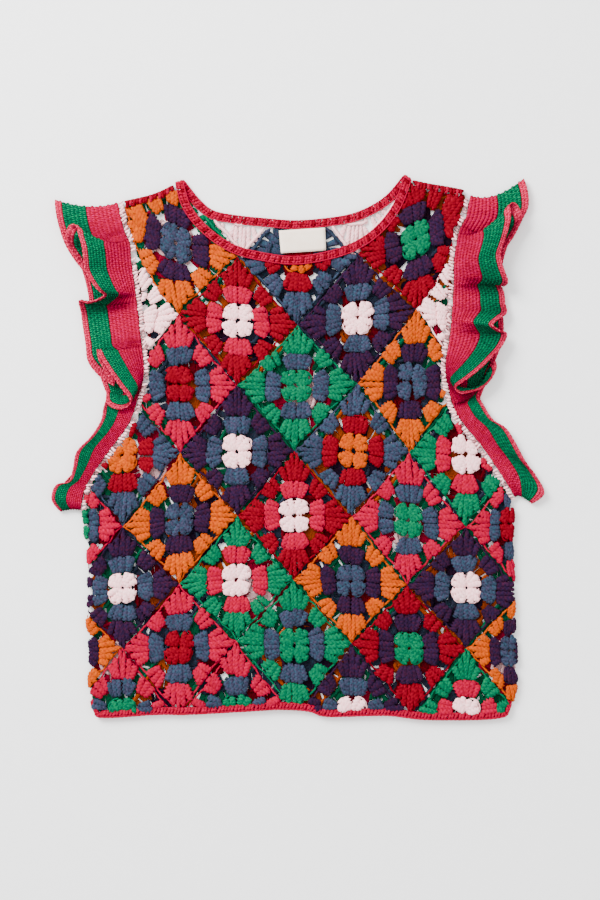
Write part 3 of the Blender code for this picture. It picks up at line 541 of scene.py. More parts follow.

# Yarn of the front, of the back and of the back's cream fills: rings along and around each strand,
# how far the clusters stray, how full and how deeply grooved the strands are, and the back's painted shade
# under the front cloth and where it is bare.
front = {"sections": 11, "sides": 8, "edgeStep": 1.8, "chainSides": 6, "edge": 0.95, "jitter": 0.75,
         "swing": 0.08, "tilt": 0.9, "spread": 1.02, "reach": 0.6, "full": 1.34, "thick": 0.95,
         "groove": 0.38}
back = {"sections": 6, "sides": 6, "edgeStep": 2.8, "chainSides": 4, "edge": 1.9, "jitter": 0.5,
        "swing": 0.03, "tilt": 0.3, "spread": 1.34, "reach": 0.4, "full": 1.18, "thick": 0.3,
        "groove": 0.12, "shade": 0.68, "bareShade": 0.1}
collar = {**back, "sections": 10, "sides": 8, "jitter": 0.7, "swing": 0.08, "spread": 1.12,
          "full": 1.0, "thick": 0.6, "groove": 0.36}
rope = {"furrows": 2, "topShade": 0.3}
post = {"thick": 2.0, "turns": 2.1, "arch": 0.55, "wander": 0.35, "stray": 0.35, "sizes": (0.93, 1.07),
        "knob": 0.16, "knobPitch": 3.6, "foot": 0.45, "opening": 1.92, "openShare": 0.3,
        "closing": 0.55, "closePower": 14, "crowded": 0.45, "crowdStart": 0.12,
        "rises": ((-0.1, 0.5), (-0.5, 0.35), (-0.6, 0.2)), "rise": 0.12, "tests": 9, "fewest": 4}
chain = {"wide": 1.5, "thick": 1.25, "groove": 0.5, "pitch": 4.4, "pinch": 0.3, "end": 0.4,
         "rises": (-0.7, -0.9, -1.3), "stray": 0.7, "shortest": 4}

# Posts of one quarter of a square that has its corner at +Y: round, base, top, half width at the
# base and at the top.
middlePosts = (
    (0, (1.2, 2.6), (5.6, 15.0), 3.0, 3.3),
    (0, (2.2, 2.2), (12.4, 12.4), 2.8, 3.5),
    (0, (2.6, 1.2), (15.0, 5.6), 3.0, 3.3),
)
ringPosts = (
    (1, (2.0, 16.6), (2.3, 31.8), 2.5, 2.9),
    (1, (5.2, 16.4), (7.4, 32.0), 2.5, 3.2),
    (1, (8.2, 17.0), (12.8, 29.4), 2.3, 3.1),
)
cornerPosts = (
    (2, (1.8, 32.6), (1.4, 58.0), 2.6, 1.9),
    (2, (5.2, 32.4), (6.8, 51.8), 2.8, 3.0),
    (2, (8.8, 33.0), (13.6, 45.6), 2.8, 3.6),
)
sidePosts = (
    (2, (17.0, 22.2), (24.0, 34.4), 2.7, 3.4),
    (2, (19.8, 19.8), (30.0, 30.0), 2.8, 3.6),
    (2, (22.2, 17.0), (34.4, 24.0), 2.7, 3.4),
)
# Chains of one quarter: round, then the points they pass.
chainPaths = (
    (0, ((3.6, 15.0), (8.6, 13.8), (11.6, 11.6), (13.8, 8.6), (15.0, 3.6))),
    (1, ((-13.6, 28.6), (-7.6, 31.0), (0, 31.4), (7.6, 31.0), (13.6, 28.6))),
    (2, ((0, 61.0), (1.2, 57.6), (4.6, 52.2), (9.0, 48.2), (14.6, 43.0), (18.6, 39.4), (20.6, 37.4),
         (23.6, 33.4), (28.6, 28.6), (33.4, 23.6), (37.4, 20.6), (39.4, 18.6),
         (43.0, 14.6), (48.2, 9.0), (52.2, 4.6), (57.6, 1.2), (61.0, 0))),
)
squareRim = ((0, 1), (0.5, 0.5), (1, 0), (0.5, -0.5), (0, -1), (-0.5, -0.5), (-1, 0), (-0.5, 0.5))


def mirrored(posts):
    return [(level, (-base[0], base[1]), (-top[0], top[1]), *widths) for level, base, top, *widths in posts]


clusters = (middlePosts, ringPosts, mirrored(ringPosts), cornerPosts, mirrored(cornerPosts), sidePosts)


def newBatch():
    return {"points": [], "faces": [], "uvs": [], "wear": [], "yarns": [], "count": 0}


# A strand of rings along a path, with two furrows that turn round it and painted shade on its upper side.
def addRope(batch, path, ups, wide, thick, spin, sides, yarn, groove, closed=False, shade=0.0):
    tone = chance.uniform(0, 1)
    count = len(path)
    ahead = unit(np.roll(path, -1, 0) - np.roll(path, 1, 0) if closed else np.gradient(path, axis=0))
    across = unit(np.cross(ahead, ups))
    lift = np.cross(across, ahead)
    ring = np.arange(sides)
    theta = ring * 2 * math.pi / sides
    furrow = 0.5 - 0.5 * np.cos(rope["furrows"] * (theta - spin[:, None]))
    radius = 1 - groove * furrow
    points = (path[:, None] + across[:, None] * (wide[:, None] * radius * np.cos(theta))[..., None]
              + lift[:, None] * (thick[:, None] * radius * np.sin(theta))[..., None])
    start = batch["count"]
    spans = np.arange(count if closed else count - 1)[:, None]
    here, after = start + spans * sides, start + (spans + 1) % count * sides
    turned = (ring + 1) % sides
    quads = np.stack([here + ring, after + ring, after + turned, here + turned], -1).reshape(-1, 4)
    lengths = lengthsOf(path) / 10
    if closed:
        lengths = np.append(lengths, lengths[-1] + lengths[1])
    low, high, around, further = np.broadcast_arrays(lengths[spans], lengths[spans + 1], ring / sides,
                                                     (ring + 1) / sides)
    uvs = np.stack([low, around, high, around, high, further, low, further], -1)
    # Painted shade, strongest on the side that faces up, for strands given a shade.
    upward = np.clip(lift[:, None, 2] * np.sin(theta) + rope["topShade"], 0, 1) * shade
    batch["points"].append(points.reshape(-1, 3))
    batch["faces"] += quads.tolist()
    batch["uvs"].append(uvs.reshape(-1, 2))
    batch["wear"].append(np.stack([np.full_like(furrow, tone), furrow, upward], -1).reshape(-1, 3))
    if not closed:
        last = start + (count - 1) * sides
        batch["faces"] += [(start + ring).tolist(), (last + ring[::-1]).tolist()]
        batch["uvs"].append(np.zeros((2 * sides, 2)))
    batch["yarns"] += [yarn] * (len(quads) + (0 if closed else 2))
    batch["count"] += count * sides


# One tall stitch: narrow at its foot, knobbed, and drawn in at its top.
def addPost(batch, base, top, arch, wideBase, wideTop, look, yarn, shade=0.0, ups=(0, 0, 1)):
    base, top, ups = (np.asarray(point, float) for point in (base, top, ups))
    shares = (1 - np.cos(np.linspace(post["crowdStart"], 1, look["sections"]) * math.pi)) / 2
    shares = (shares - shares[0]) / (1 - shares[0])
    shares = post["crowded"] * shares + (1 - post["crowded"]) * np.linspace(0, 1, look["sections"])
    swell = np.clip(post["foot"] + post["opening"] * np.sqrt(shares * post["openShare"]), 0, 1)
    swell *= 1 - post["closing"] * shares ** post["closePower"]
    hump = np.sin(math.pi * shares)[:, None]
    path = base + (top - base) * shares[:, None] + ups * arch * hump
    path += unit(np.cross(top - base, ups)) * chance.normal(0, post["stray"]) * hump
    wide = (wideBase + (wideTop - wideBase) * shares) * swell * chance.uniform(*post["sizes"])
    knobs = 1 + post["knob"] * np.sin(2 * math.pi * shares * math.dist(base, top) / post["knobPitch"]
                                      + chance.uniform(0, 2 * math.pi))
    thick = post["thick"] * look["thick"] * swell * knobs
    spin = chance.uniform(0, math.pi) + 2 * math.pi * post["turns"] * shares
    addRope(batch, path, ups, wide * look["full"] * knobs, thick, spin, look["sides"], yarn,
            look["groove"], shade=shade)


def addChain(batch, path, ups, yarn, sides, size=1.0, closed=False, shade=0.0, flat=1.0):
    turns = math.pi * lengthsOf(path) / chain["pitch"]
    beads = chain["pinch"] * (np.abs(np.sin(turns)) - 1)
    wide = chain["wide"] * size * (1 + beads)
    thick = chain["thick"] * size * flat * (1 + beads / 2)
    if not closed:
        wide[[0, -1]] *= chain["end"]
        thick[[0, -1]] *= chain["end"]
    addRope(batch, path, ups, wide, thick, turns, sides, yarn, chain["groove"], closed, shade)


def insideRuns(mask):
    edges = np.flatnonzero(np.diff(np.concatenate([[0], mask.astype(int), [0]])))
    return [(a, b) for a, b in zip(edges[::2], edges[1::2]) if b - a >= chain["shortest"]]


def foldedOver(points):
    points = points.copy()
    for side, edge in ((-1, leftSide), (1, rightSide)):
        line = np.array(edge[::-1], float)
        fold = np.interp(points[:, 1], line[:, 1], line[:, 0])
        over = (points[:, 0] - fold) * side
        turned = over > 0
        angle = over[turned] / layers["bend"]
        radius = np.maximum(points[turned, 2] - layers["fold"], 0.1)
        points[turned, 0] = fold[turned] + side * radius * np.sin(angle)
        points[turned, 2] = layers["fold"] + radius * np.cos(angle)
    return points


def strayed(count):
    knots = chance.normal(0, 1, (max(count // 4, 2) + 2, 2))
    knots[[0, -1]] = 0
    places = np.linspace(0, len(knots) - 1, count)
    return np.stack([np.interp(places, np.arange(len(knots)), axis) for axis in knots.T], 1)


# Painted shade for back strands that lie under the front cloth, and a little where they are bare.
def coverShade(point, cover, look):
    if cover is None:
        return 0.0
    return look["shade" if isInside(np.array([point]), cover)[0] else "bareShade"]


# A square of three rounds, cut at the outline. Gives the share of a whole square that is left.
def addSquare(batch, corners, colours, look, outline, outward, cover=None):
    middle = layers["front" if outward > 0 else "back"]
    ups = (0, 0, outward)
    for quarter in range(4):
        for posts in clusters:
            nudge = chance.normal(0, look["jitter"], 2)
            swing = chance.normal(0, look["swing"])
            turn = np.array([[math.cos(swing), math.sin(swing)], [-math.sin(swing), math.cos(swing)]])
            pivot = np.mean([row[1:3] for row in posts], axis=(0, 1))
            for level, base, top, wideBase, wideTop in posts:
                ends = pivot + (np.array([base, top]) - pivot) @ turn * look["spread"]
                ends += nudge + chance.normal(0, post["wander"], (2, 2))
                ends[0] -= (ends[1] - ends[0]) * look["reach"] / math.dist(*ends)
                lift = np.array(post["rises"][level]) * look["tilt"] + chance.normal(0, post["rise"])
                low, high = middle + outward * lift
                start, end = placed(ends, corners, quarter)
                aside = unit(leftOf(ends[1:] - ends[:1]))
                sides = placed(ends.mean(0) + np.vstack([aside, -aside]), corners, quarter)
                size = math.dist(*sides) / 2
                line = start + (end - start) * np.linspace(0, 1, post["tests"])[:, None]
                within = np.flatnonzero(isInside(line, outline))
                if len(within) >= post["fewest"]:
                    addPost(batch, (*line[within[0]], low), (*line[within[-1]], high), post["arch"],
                            wideBase * size, wideTop * size, look, colours[level],
                            coverShade(line[len(line) // 2], cover, look), ups)
        for level, points in chainPaths:
            path = respaced(drawn(placed(points, corners, quarter), steps=6), look["edgeStep"])
            path = path + strayed(len(path)) * chain["stray"]
            for first, last in insideRuns(isInside(path, outline)):
                run = path[first:last]
                addChain(batch, atHeight(run, middle + outward * chain["rises"][level]), ups,
                         colours[level], look["chainSides"], look["edge"], flat=look["thick"],
                         shade=coverShade(run[len(run) // 2], cover, look))
    spots = np.stack(np.meshgrid(*2 * [np.linspace(-0.95, 0.95, 20)]), -1).reshape(-1, 2)
    spots = np.stack([spots.sum(1), spots[:, 0] - spots[:, 1]], 1) * halfDiagonal / 2
    rim = placed(halfDiagonal * np.array(squareRim), corners, 0)
    ahead = np.roll(rim, -1, 0)
    area = abs((rim[:, 0] * ahead[:, 1] - rim[:, 1] * ahead[:, 0]).sum()) / 2
    return isInside(placed(spots, corners, 0), outline).mean() * max(1, area / (2 * halfDiagonal ** 2))


def linked(name, data):
    thing = bpy.data.objects.new(name, data)
    bpy.context.scene.collection.objects.link(thing)
    return thing


# A piece is named for the node that it replaces, unless several pieces replace one node.
def finishPiece(node, points, faces, uvs, dyes, layer="strand", wear=None, numbers=None, name=None):
    first, *others = node.split("_")
    name = name or first + "".join(word.title() for word in others)
    mesh = bpy.data.meshes.new(name)
    mesh.from_pydata((points * mm).tolist(), [], faces)
    for dye in dyes:
        mesh.materials.append(materials[dye])
    if numbers:
        mesh.polygons.foreach_set("material_index", numbers)
    mesh.uv_layers.new(name=layer).data.foreach_set("uv", uvs.astype(np.float32).ravel())
    # Per-vertex values: a random tone per strand, the furrow that takes painted shade, and painted shade
    # from cover or valleys.
    if wear is not None:
        attribute = mesh.attributes.new("wear", "FLOAT_VECTOR", "POINT")
        attribute.data.foreach_set("vector", wear.astype(np.float32).ravel())
    mesh.shade_smooth()
    mesh.update()
    piece = linked(name, mesh)
    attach(piece, "root")
    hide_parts(node)
    return piece


def finishYarn(batch, node, folding=False, name=None):
    points, uvs, wear = (np.concatenate(batch[kind]) for kind in ("points", "uvs", "wear"))
    if folding:
        points = foldedOver(points)
    points[:, 2] = np.maximum(points[:, 2], layers["least"])
    dyes = [yarn for yarn in yarns if yarn in batch["yarns"]]
    numbers = [dyes.index(yarn) for yarn in batch["yarns"]]
    return finishPiece(node, points, batch["faces"], uvs, dyes, "strand", wear, numbers, name)


# Sheets of cloth, and the narrow bands listed with each.
trims = {}
lattice = frontLattice()
outline = panelOutline(frontNeck, panel["turn"])
patches = [(f"front_square_{row}{column}", row, column, colours)
           for row, column, _, _, *colours in frontSquares]
patches += [(f"armhole_fill_{side}", row, column, ("cream",) * 3) for side, row, column, _, _ in frontFills]
for node, row, column, colours in patches:
    batch = newBatch()
    share = addSquare(batch, cornersOf(lattice, rowNames.index(row), column), colours, front, outline, 1)
    piece = finishYarn(batch, node, True)

lattice = backLattice()
outline = panelOutline(backNeck, 0)
cover = panelOutline(frontNeck, 0)
batch, share = newBatch(), 0.0
for row in range(9):
    for column in range(-1, 10):
        isFill = (row, column) in backFills
        if (row + column) % 2 == 0 or row == 0 and not isFill:
            continue
        colours = ("cream",) * 3 if isFill else backMixes[(column + 3 * row + 1) % len(backMixes)]
        if (row, column) == (1, 4):
            colours = neckMix
        share += addSquare(batch, cornersOf(lattice, row, column), colours, collar if isFill else back,
                           outline, -1, cover)
    if row > 0:
        piece = finishYarn(batch, "back_patchwork", name="backRow" + rowNames[row].upper())
        batch, share = newBatch(), 0.0
print("back rows done")

# Stitches of the bands: pitch and lean of the posts, and the chains worked over them.
band = {**front, "sections": 8}
neckband = {"half": 3.8, "pitch": 2.9, "lean": 2.2, "stray": 0.5, "raise": 0.5, "arch": 0.5,
            "wide": (1.5, 1.65), "yarns": ("pink", "pink", "pink", "crimson"),
            "chains": ((-3.7, "pink"), (0.1, "crimson"), (3.8, "pink")), "size": 0.7, "rise": 1.4}
hemband = {"pitch": 3.4, "lean": 2.4, "stray": 0.5, "start": 1.2, "tall": 6.2, "arch": 0.3,
           "wide": (1.5, 1.725), "sides": 6, "drop": 0.3, "ends": ((-206.5, -254.0), (214.0, -253.0)),
           "corners": ((3.5, -9.0), (-2.5, -8.5)), "corner": 12.0, "least": 0.35,
           "aim": (0.0, -150.0), "chains": ((1.0, 1.0), (7.0, 0.8)), "chainStep": 2.0, "turnOver": 1.6}
shoulder = {"pitch": 3.3, "lean": 1.0, "deep": 5.0, "deeps": (0.7, 1.2), "over": 1.8, "arch": 0.4,
            "wide": (1.5, 1.7), "height": 5.9, "yarns": ("crimson", "pink", "crimson"),
            "chains": ((1.5, 0.9), (1.8, 2.6), (1.8, 4.3), (1.3, 5.8)), "chainStep": 1.6, "size": 1.05,
            "sides": 6}

for side, line, height in (("front", frontNeck, layers["front"] + neckband["raise"]),
                           ("back", backNeck, layers["back"])):
    batch = newBatch()
    curve = respaced(drawn(line), 1.0)
    rows = respaced(curve, neckband["pitch"])
    ahead = unit(np.gradient(rows, axis=0))
    for index, (point, along, normal) in enumerate(zip(rows, ahead, leftOf(ahead))):
        reach = normal * neckband["half"]
        reach += along * (neckband["lean"] + chance.normal(0, neckband["stray"])) / 2
        addPost(batch, (*(point - reach), height), (*(point + reach), height), neckband["arch"],
                *neckband["wide"], band, neckband["yarns"][index % len(neckband["yarns"])])
    flat = respaced(curve, front["edgeStep"])
    for distance, yarn in neckband["chains"]:
        addChain(batch, atHeight(sideways(flat, distance), height + neckband["rise"]), (0, 0, 1), yarn,
                 front["chainSides"], neckband["size"])
    piece = finishYarn(batch, f"neckband_{side}")
    trims["frontSquareA4" if side == "front" else "backRowA"] = [piece]

# The hem runs along the front's lower edge, round the right fold, and back under to the left fold.
hemEnds = np.array(hemband["ends"])
hemEdge = np.insert(hemEnds + hemband["corners"], 1, hemBottom[1:-1], 0)
curve = drawn([*atHeight(hemEdge, layers["front"]), (*hemEnds[1], layers["fold"]),
               *atHeight(hemEdge[::-1], layers["back"]), (*hemEnds[0], layers["fold"])], True)


# Unit steps from the hem's edge into the cloth, and how far they may go near the folds.
def hemInward(path):
    normals = leftOf((np.roll(path, -2, 0) - np.roll(path, 2, 0))[:, :2])
    normals *= np.sign((normals * (hemband["aim"] - path[:, :2])).sum(1))[:, None]
    inward = normals / (np.linalg.norm(normals, axis=1)[:, None] + 1e-6)
    room = np.minimum(path[:, 0] - hemEnds[0, 0], hemEnds[1, 0] - path[:, 0]) / hemband["corner"]
    return atHeight(inward, 0.0), np.clip(room, hemband["least"], 1)[:, None]


batch = newBatch()
rows = respaced(curve, hemband["pitch"], True)
for point, inward, share in zip(rows, *hemInward(rows)):
    outward = 1 if point[2] > layers["fold"] else -1
    slant = np.cross(inward, (0, 0, 1)) * (hemband["lean"] + chance.normal(0, hemband["stray"])) / 2
    base = point + inward * hemband["start"] - (0, 0, outward * hemband["drop"])
    addPost(batch, base - slant, base + inward * hemband["tall"] * share + slant, hemband["arch"],
            *hemband["wide"], {**band, "sides": hemband["sides"]}, "pink", ups=(0, 0, outward))
for rise, size in hemband["chains"]:
    path = respaced(curve, hemband["chainStep"], True)
    inward, shares = hemInward(path)
    path += inward * rise * shares
    above = path[:, 2:] - layers["fold"]
    near = np.clip(np.abs(above) / hemband["turnOver"], 0, 1)
    ups = np.where(above > 0, (0, 0, 1.0), (0, 0, -1.0)) * near
    ups[:, :1] += np.sign(path[:, :1]) * (1 - near)
    addChain(batch, path, ups, "pink", hemband["sides"], size, True)
trims["backRowH"] = [finishYarn(batch, "hem_band")]

for side, line in (("left", leftShoulder), ("right", rightShoulder)):
    batch = newBatch()
    curve = respaced(drawn(line), shoulder["chainStep"])
    for distance, height in shoulder["chains"]:
        addChain(batch, atHeight(sideways(curve, distance), height), (0, 0, 1), "crimson",
                 shoulder["sides"], shoulder["size"])
    for index, (x, y) in enumerate(respaced(drawn(line), shoulder["pitch"])[1:-1]):
        lean = chance.normal(0, shoulder["lean"])
        deep = shoulder["deep"] * chance.uniform(*shoulder["deeps"])
        addPost(batch, (x + lean, y - deep, shoulder["height"]),
                (x, y + shoulder["over"], shoulder["height"]), shoulder["arch"], *shoulder["wide"], band,
                shoulder["yarns"][index % len(shoulder["yarns"])])
    trims["backRowA"].append(finishYarn(batch, f"shoulder_join_{side}"))
print("bands done")

# One place a row where each ruffle bends, front half then back half: the height at which it
# leaves the seam, then the point of its free edge.
leftRuffle = (
    (244.5, -241.5, 247.0, 3.6), (236.0, -240.5, 236.0, 6.4), (226.0, -237.5, 221.5, 6.0),
    (220.0, -231.5, 203.5, 5.4), (217.0, -221.5, 187.0, 5.0), (215.0, -211.0, 174.5, 7.0),
    (213.0, -219.5, 187.5, 9.8), (211.0, -228.5, 202.5, 12.5), (209.0, -228.5, 214.5, 16.0),
    (208.2, -225.0, 220.5, 16.6), (206.2, -219.0, 219.5, 19.4), (203.0, -216.5, 211.5, 20.5),
    (197.0, -213.0, 200.0, 20.5), (188.5, -211.5, 188.0, 19.0), (179.5, -210.5, 177.0, 17.5),
    (170.0, -205.0, 166.0, 17.0), (160.0, -198.0, 157.0, 16.0), (155.0, -192.0, 151.5, 13.8),
    (151.0, -200.0, 146.5, 11.6), (147.0, -210.0, 144.5, 10.4), (144.0, -217.5, 146.0, 7.8),
    (139.0, -215.5, 135.5, 5.2), (127.0, -213.5, 121.0, 5.2), (115.0, -210.5, 102.0, 5.6),
    (109.5, -208.5, 86.5, 5.2), (106.5, -198.5, 73.0, 5.0), (104.5, -182.5, 62.0, 7.8),
    (102.5, -189.0, 73.0, 10.8), (100.5, -196.5, 86.5, 13.4), (98.0, -198.5, 97.0, 16.5),
    (93.5, -194.0, 88.0, 17.5), (84.5, -184.5, 73.5, 17.5), (73.5, -175.0, 60.0, 16.0),
    (63.5, -166.0, 48.0, 14.0), (58.5, -168.5, 41.5, 11.4), (54.0, -178.5, 38.5, 10.4),
    (50.0, -189.0, 44.0, 9.0), (46.5, -190.0, 55.0, 7.0), (44.5, -189.5, 51.0, 4.6),
    (40.0, -193.0, 39.5, 4.6), (27.5, -195.5, 26.5, 6.0), (10.5, -205.5, 10.5, 7.0),
    (-7.0, -219.5, -4.5, 7.0), (-20.0, -223.5, -22.0, 6.0), (-36.0, -227.5, -34.0, 6.0),
    (-46.0, -240.5, -38.0, 6.0), (-55.0, -244.5, -52.0, 6.2), (-62.5, -236.0, -63.5, 3.6),
    (-56.0, -242.5, -52.0, 1.25), (-36.0, -233.0, -36.0, 1.25), (-20.0, -220.0, -21.0, 1.25),
    (10.5, -202.0, 8.0, 1.25), (41.5, -188.0, 40.0, 1.25), (73.5, -196.0, 70.0, 1.25),
    (115.0, -208.0, 110.0, 1.25), (155.0, -208.0, 150.0, 1.25), (190.0, -219.0, 190.0, 1.25),
    (226.0, -235.0, 222.0, 1.25), (237.0, -239.5, 238.0, 1.5),
)
rightRuffle = (
    (251.5, 225.5, 268.0, 3.6), (242.0, 229.0, 255.0, 6.4), (234.0, 229.5, 240.5, 6.0),
    (228.5, 223.5, 227.0, 5.4), (224.0, 214.5, 209.5, 5.0), (221.5, 203.0, 194.0, 7.0),
    (219.5, 210.5, 204.5, 9.8), (217.5, 219.0, 219.5, 12.5), (215.5, 222.0, 231.0, 15.5),
    (214.2, 216.5, 241.5, 16.6), (212.4, 210.5, 240.5, 19.4), (209.5, 211.0, 230.5, 20.5),
    (203.5, 208.5, 217.5, 20.5), (196.5, 204.5, 204.5, 19.5), (188.5, 201.0, 192.5, 18.0),
    (179.5, 203.5, 179.5, 17.0), (170.5, 208.5, 165.5, 15.0), (166.5, 205.5, 161.0, 11.5),
    (163.0, 200.0, 166.0, 8.8), (160.0, 201.5, 163.0, 6.6), (154.0, 205.5, 154.0, 6.0),
    (146.0, 206.5, 144.0, 6.4), (139.0, 208.0, 134.5, 8.0), (133.5, 201.0, 129.0, 12.0),
    (127.5, 193.5, 122.0, 14.5), (121.0, 200.5, 116.5, 13.0), (114.5, 208.0, 113.0, 11.0),
    (105.5, 203.5, 102.0, 12.5), (96.5, 194.5, 92.0, 15.0), (87.5, 182.5, 80.0, 18.5),
    (78.5, 169.0, 69.0, 18.5), (70.5, 157.0, 60.0, 16.0), (64.0, 162.0, 54.0, 13.6),
    (58.0, 172.0, 55.5, 12.8), (53.0, 182.0, 59.0, 12.2), (49.0, 191.0, 66.5, 11.6),
    (46.0, 197.5, 79.0, 11.0), (43.5, 195.5, 88.0, 8.4), (42.0, 192.5, 82.0, 5.4),
    (40.2, 186.5, 67.0, 4.0), (37.0, 180.0, 53.5, 4.2), (31.2, 185.0, 42.5, 5.2),
    (23.5, 194.5, 27.5, 6.4), (10.5, 209.5, 16.5, 6.8), (-1.5, 226.5, -13.5, 6.2),
    (-16.5, 237.5, -28.5, 5.4), (-32.5, 245.5, -45.5, 6.0), (-51.0, 233.5, -55.5, 3.6),
    (-34.5, 243.0, -44.5, 1.25), (-16.5, 235.0, -28.0, 1.25), (10.5, 207.0, 14.0, 1.25),
    (34.0, 182.0, 40.0, 1.25), (69.5, 190.0, 70.0, 1.25), (114.5, 205.0, 112.0, 1.25),
    (163.0, 202.0, 160.0, 1.25), (196.5, 208.0, 198.0, 1.25), (234.0, 227.0, 240.0, 1.25),
    (243.5, 227.5, 256.0, 1.5),
)
underarmStation = 47

# Rows of stitches on the ruffles with the painted shade of their valleys and slopes, and the cream line of
# stitches at each armhole's seam.
ruffle = {"wall": 2.2, "thinnest": 1.0, "perRadius": 0.75, "leanStart": 0.2, "stitch": 4.0,
          "alongStep": 1.5, "rowSteps": 4, "rowRise": 0.9, "rowMiddle": 0.6, "stitchRise": 0.4,
          "edgeWall": 0.55, "easing": 0.6, "cord": 0.8, "cordSides": 6, "cordRise": 0.35, "floor": 0.1,
          "guide": (0.55, 0.9), "guideStep": 0.02,
          "valley": 13.0, "valleyShade": 0.28, "slopeShade": 0.9, "downShade": 1.5, "deepest": 0.62,
          "parts": (("base", "pink", 0.0, 0.53, 8), ("stripe", "green", 0.53, 0.905, 6),
                    ("edge", "rose", 0.905, 1.0, 2))}
edging = {"width": 5.0, "widths": (0.6, 1.2), "pitch": 3.3, "lean": 1.6, "stray": 1.4, "start": 2.9,
          "half": 0.95, "halves": (0.75, 1.2), "taper": 1.15, "rise": 0.3, "arch": 0.4,
          "ringStep": 0.05, "seamSteps": 800, "seamReach": 0.2, "missing": 0.2,
          "sparse": {"left": (-80, 40, 0.35), "right": (200, 260, 0.62)}}
armholes = {"left": (leftArmhole, leftRuffle, 1), "right": (rightArmhole, rightRuffle, -1)}


def seamAt(seam, heights):
    last, reach = len(seam) - 1, edging["seamReach"]
    places = np.linspace(0, last, edging["seamSteps"])
    line = roundCurve(seam, places, False)
    ahead = unit(roundCurve(seam, np.minimum(places + reach, last), False)
                 - roundCurve(seam, np.maximum(places - reach, 0), False))
    order = np.argsort(line[:, 1])
    return [np.interp(heights, line[order, 1], values[order])
            for values in (line[:, 0], ahead[:, 0], ahead[:, 1])]


def layerHeight(places, count):
    places = places % count
    nearest = np.minimum(np.minimum(places, count - places), np.abs(places - underarmStation))
    turn = np.sin(np.minimum(nearest, 1) * math.pi / 2) * (layers["front"] - layers["back"]) / 2
    return layers["fold"] + np.where(places < underarmStation, turn, -turn)


# Middle of the ruffle's cloth at places along its stations and shares of its width.
def ruffleCloth(side, places, shares):
    seam, stations, hand = armholes[side]
    seamY, edgeX, edgeY, edgeZ = roundCurve(stations, places, True).T[..., None]
    seamX, alongX, alongY = seamAt(seam, seamY)
    outX, outY = hand * alongY, -hand * alongX
    runX, runY = edgeX - seamX, edgeY - seamY
    reach, lean = runX * outX + runY * outY, runX * alongX + runY * alongY
    away = edging["start"] + (reach - edging["start"]) * shares
    lean = lean * shares * np.maximum(shares - ruffle["leanStart"], 0) / (1 - ruffle["leanStart"])
    base = layerHeight(places, len(stations))[:, None]
    height = base + (edgeZ - base) * np.sin(np.clip(shares, 0, 1) * math.pi / 2)
    return np.stack([seamX + outX * away + alongX * lean, seamY + outY * away + alongY * lean,
                     height], -1)


# Half the cloth's thickness swells with each row and stitch, and thins at sharp bends.
def ruffleShell(side, places, stitchPlace, start, end, rowCount):
    shares = np.linspace(start, end, rowCount * ruffle["rowSteps"] + 1)
    grid = ruffleCloth(side, places, shares)
    along = np.roll(grid, -1, 0) - np.roll(grid, 1, 0)
    normal = np.cross(along, np.gradient(grid, axis=1))
    normal /= np.linalg.norm(normal, axis=2, keepdims=True) + 1e-9
    turn = np.arccos(np.clip((np.roll(normal, -1, 0) * np.roll(normal, 1, 0)).sum(2), -1, 1))
    radius = np.linalg.norm(along, axis=2) / (turn + 1e-3)
    for _ in range(2):
        beside = np.minimum(np.roll(radius, 1, 0), np.roll(radius, -1, 0))
        radius = np.minimum(radius, beside + ruffle["easing"])
    rowPlace = np.linspace(0, rowCount, len(shares))
    rowNumber = np.minimum(rowPlace.astype(int), rowCount - 1)
    half = np.clip(ruffle["perRadius"] * radius, ruffle["thinnest"] / 2, ruffle["wall"] / 2)
    half += ruffle["rowRise"] * (np.abs(np.sin(math.pi * rowPlace)) - ruffle["rowMiddle"])
    beat = np.cos(2 * math.pi * (stitchPlace[:, None] + 0.5 * rowNumber))
    half += ruffle["stitchRise"] * beat * np.sin(math.pi * (rowPlace - rowNumber))
    half[:, [0, -1]] *= ruffle["edgeWall"]
    return grid, normal, half, rowPlace


def closedShell(grid, normal, half, stitchPlace, rowPlace):
    count, across = half.shape
    shift = count * across
    upper, lower = grid + normal * half[..., None], grid - normal * half[..., None]
    points = np.concatenate([upper.reshape(-1, 3), lower.reshape(-1, 3)])
    points[:, 2] = np.maximum(points[:, 2], ruffle["floor"])
    ring = np.arange(count)
    turned = (ring + 1) % count
    step = np.arange(across - 1)
    here, after = ring[:, None] * across + step, turned[:, None] * across + step
    top = np.stack([here, after, after + 1, here + 1], -1).reshape(-1, 4)
    inner = np.stack([ring, ring, turned, turned], -1) * across + (0, shift, shift, 0)
    outer = np.stack([ring, turned, turned, ring], -1) * across + across - 1 + (0, 0, shift, shift)
    faces = np.concatenate([top, top[:, ::-1] + shift, inner, outer])
    stitch = np.append(stitchPlace, stitchPlace[-1] + stitchPlace[1] - stitchPlace[0])
    low, high, rowLow, rowHigh = np.broadcast_arrays(stitch[:-1, None], stitch[1:, None],
                                                     rowPlace[:-1], rowPlace[1:])
    topUv = np.stack([low, rowLow, high, rowLow, high, rowHigh, low, rowHigh], -1).reshape(-1, 4, 2)
    low, high, flat = stitch[:-1], stitch[1:], 0 * ring
    innerUv = np.stack([low, flat, low, flat, high, flat, high, flat], -1).reshape(-1, 4, 2)
    uvs = np.concatenate([topUv, topUv[:, ::-1], innerUv, innerUv + (0, rowPlace[-1])])
    return points, faces.tolist(), uvs.reshape(-1, 2)


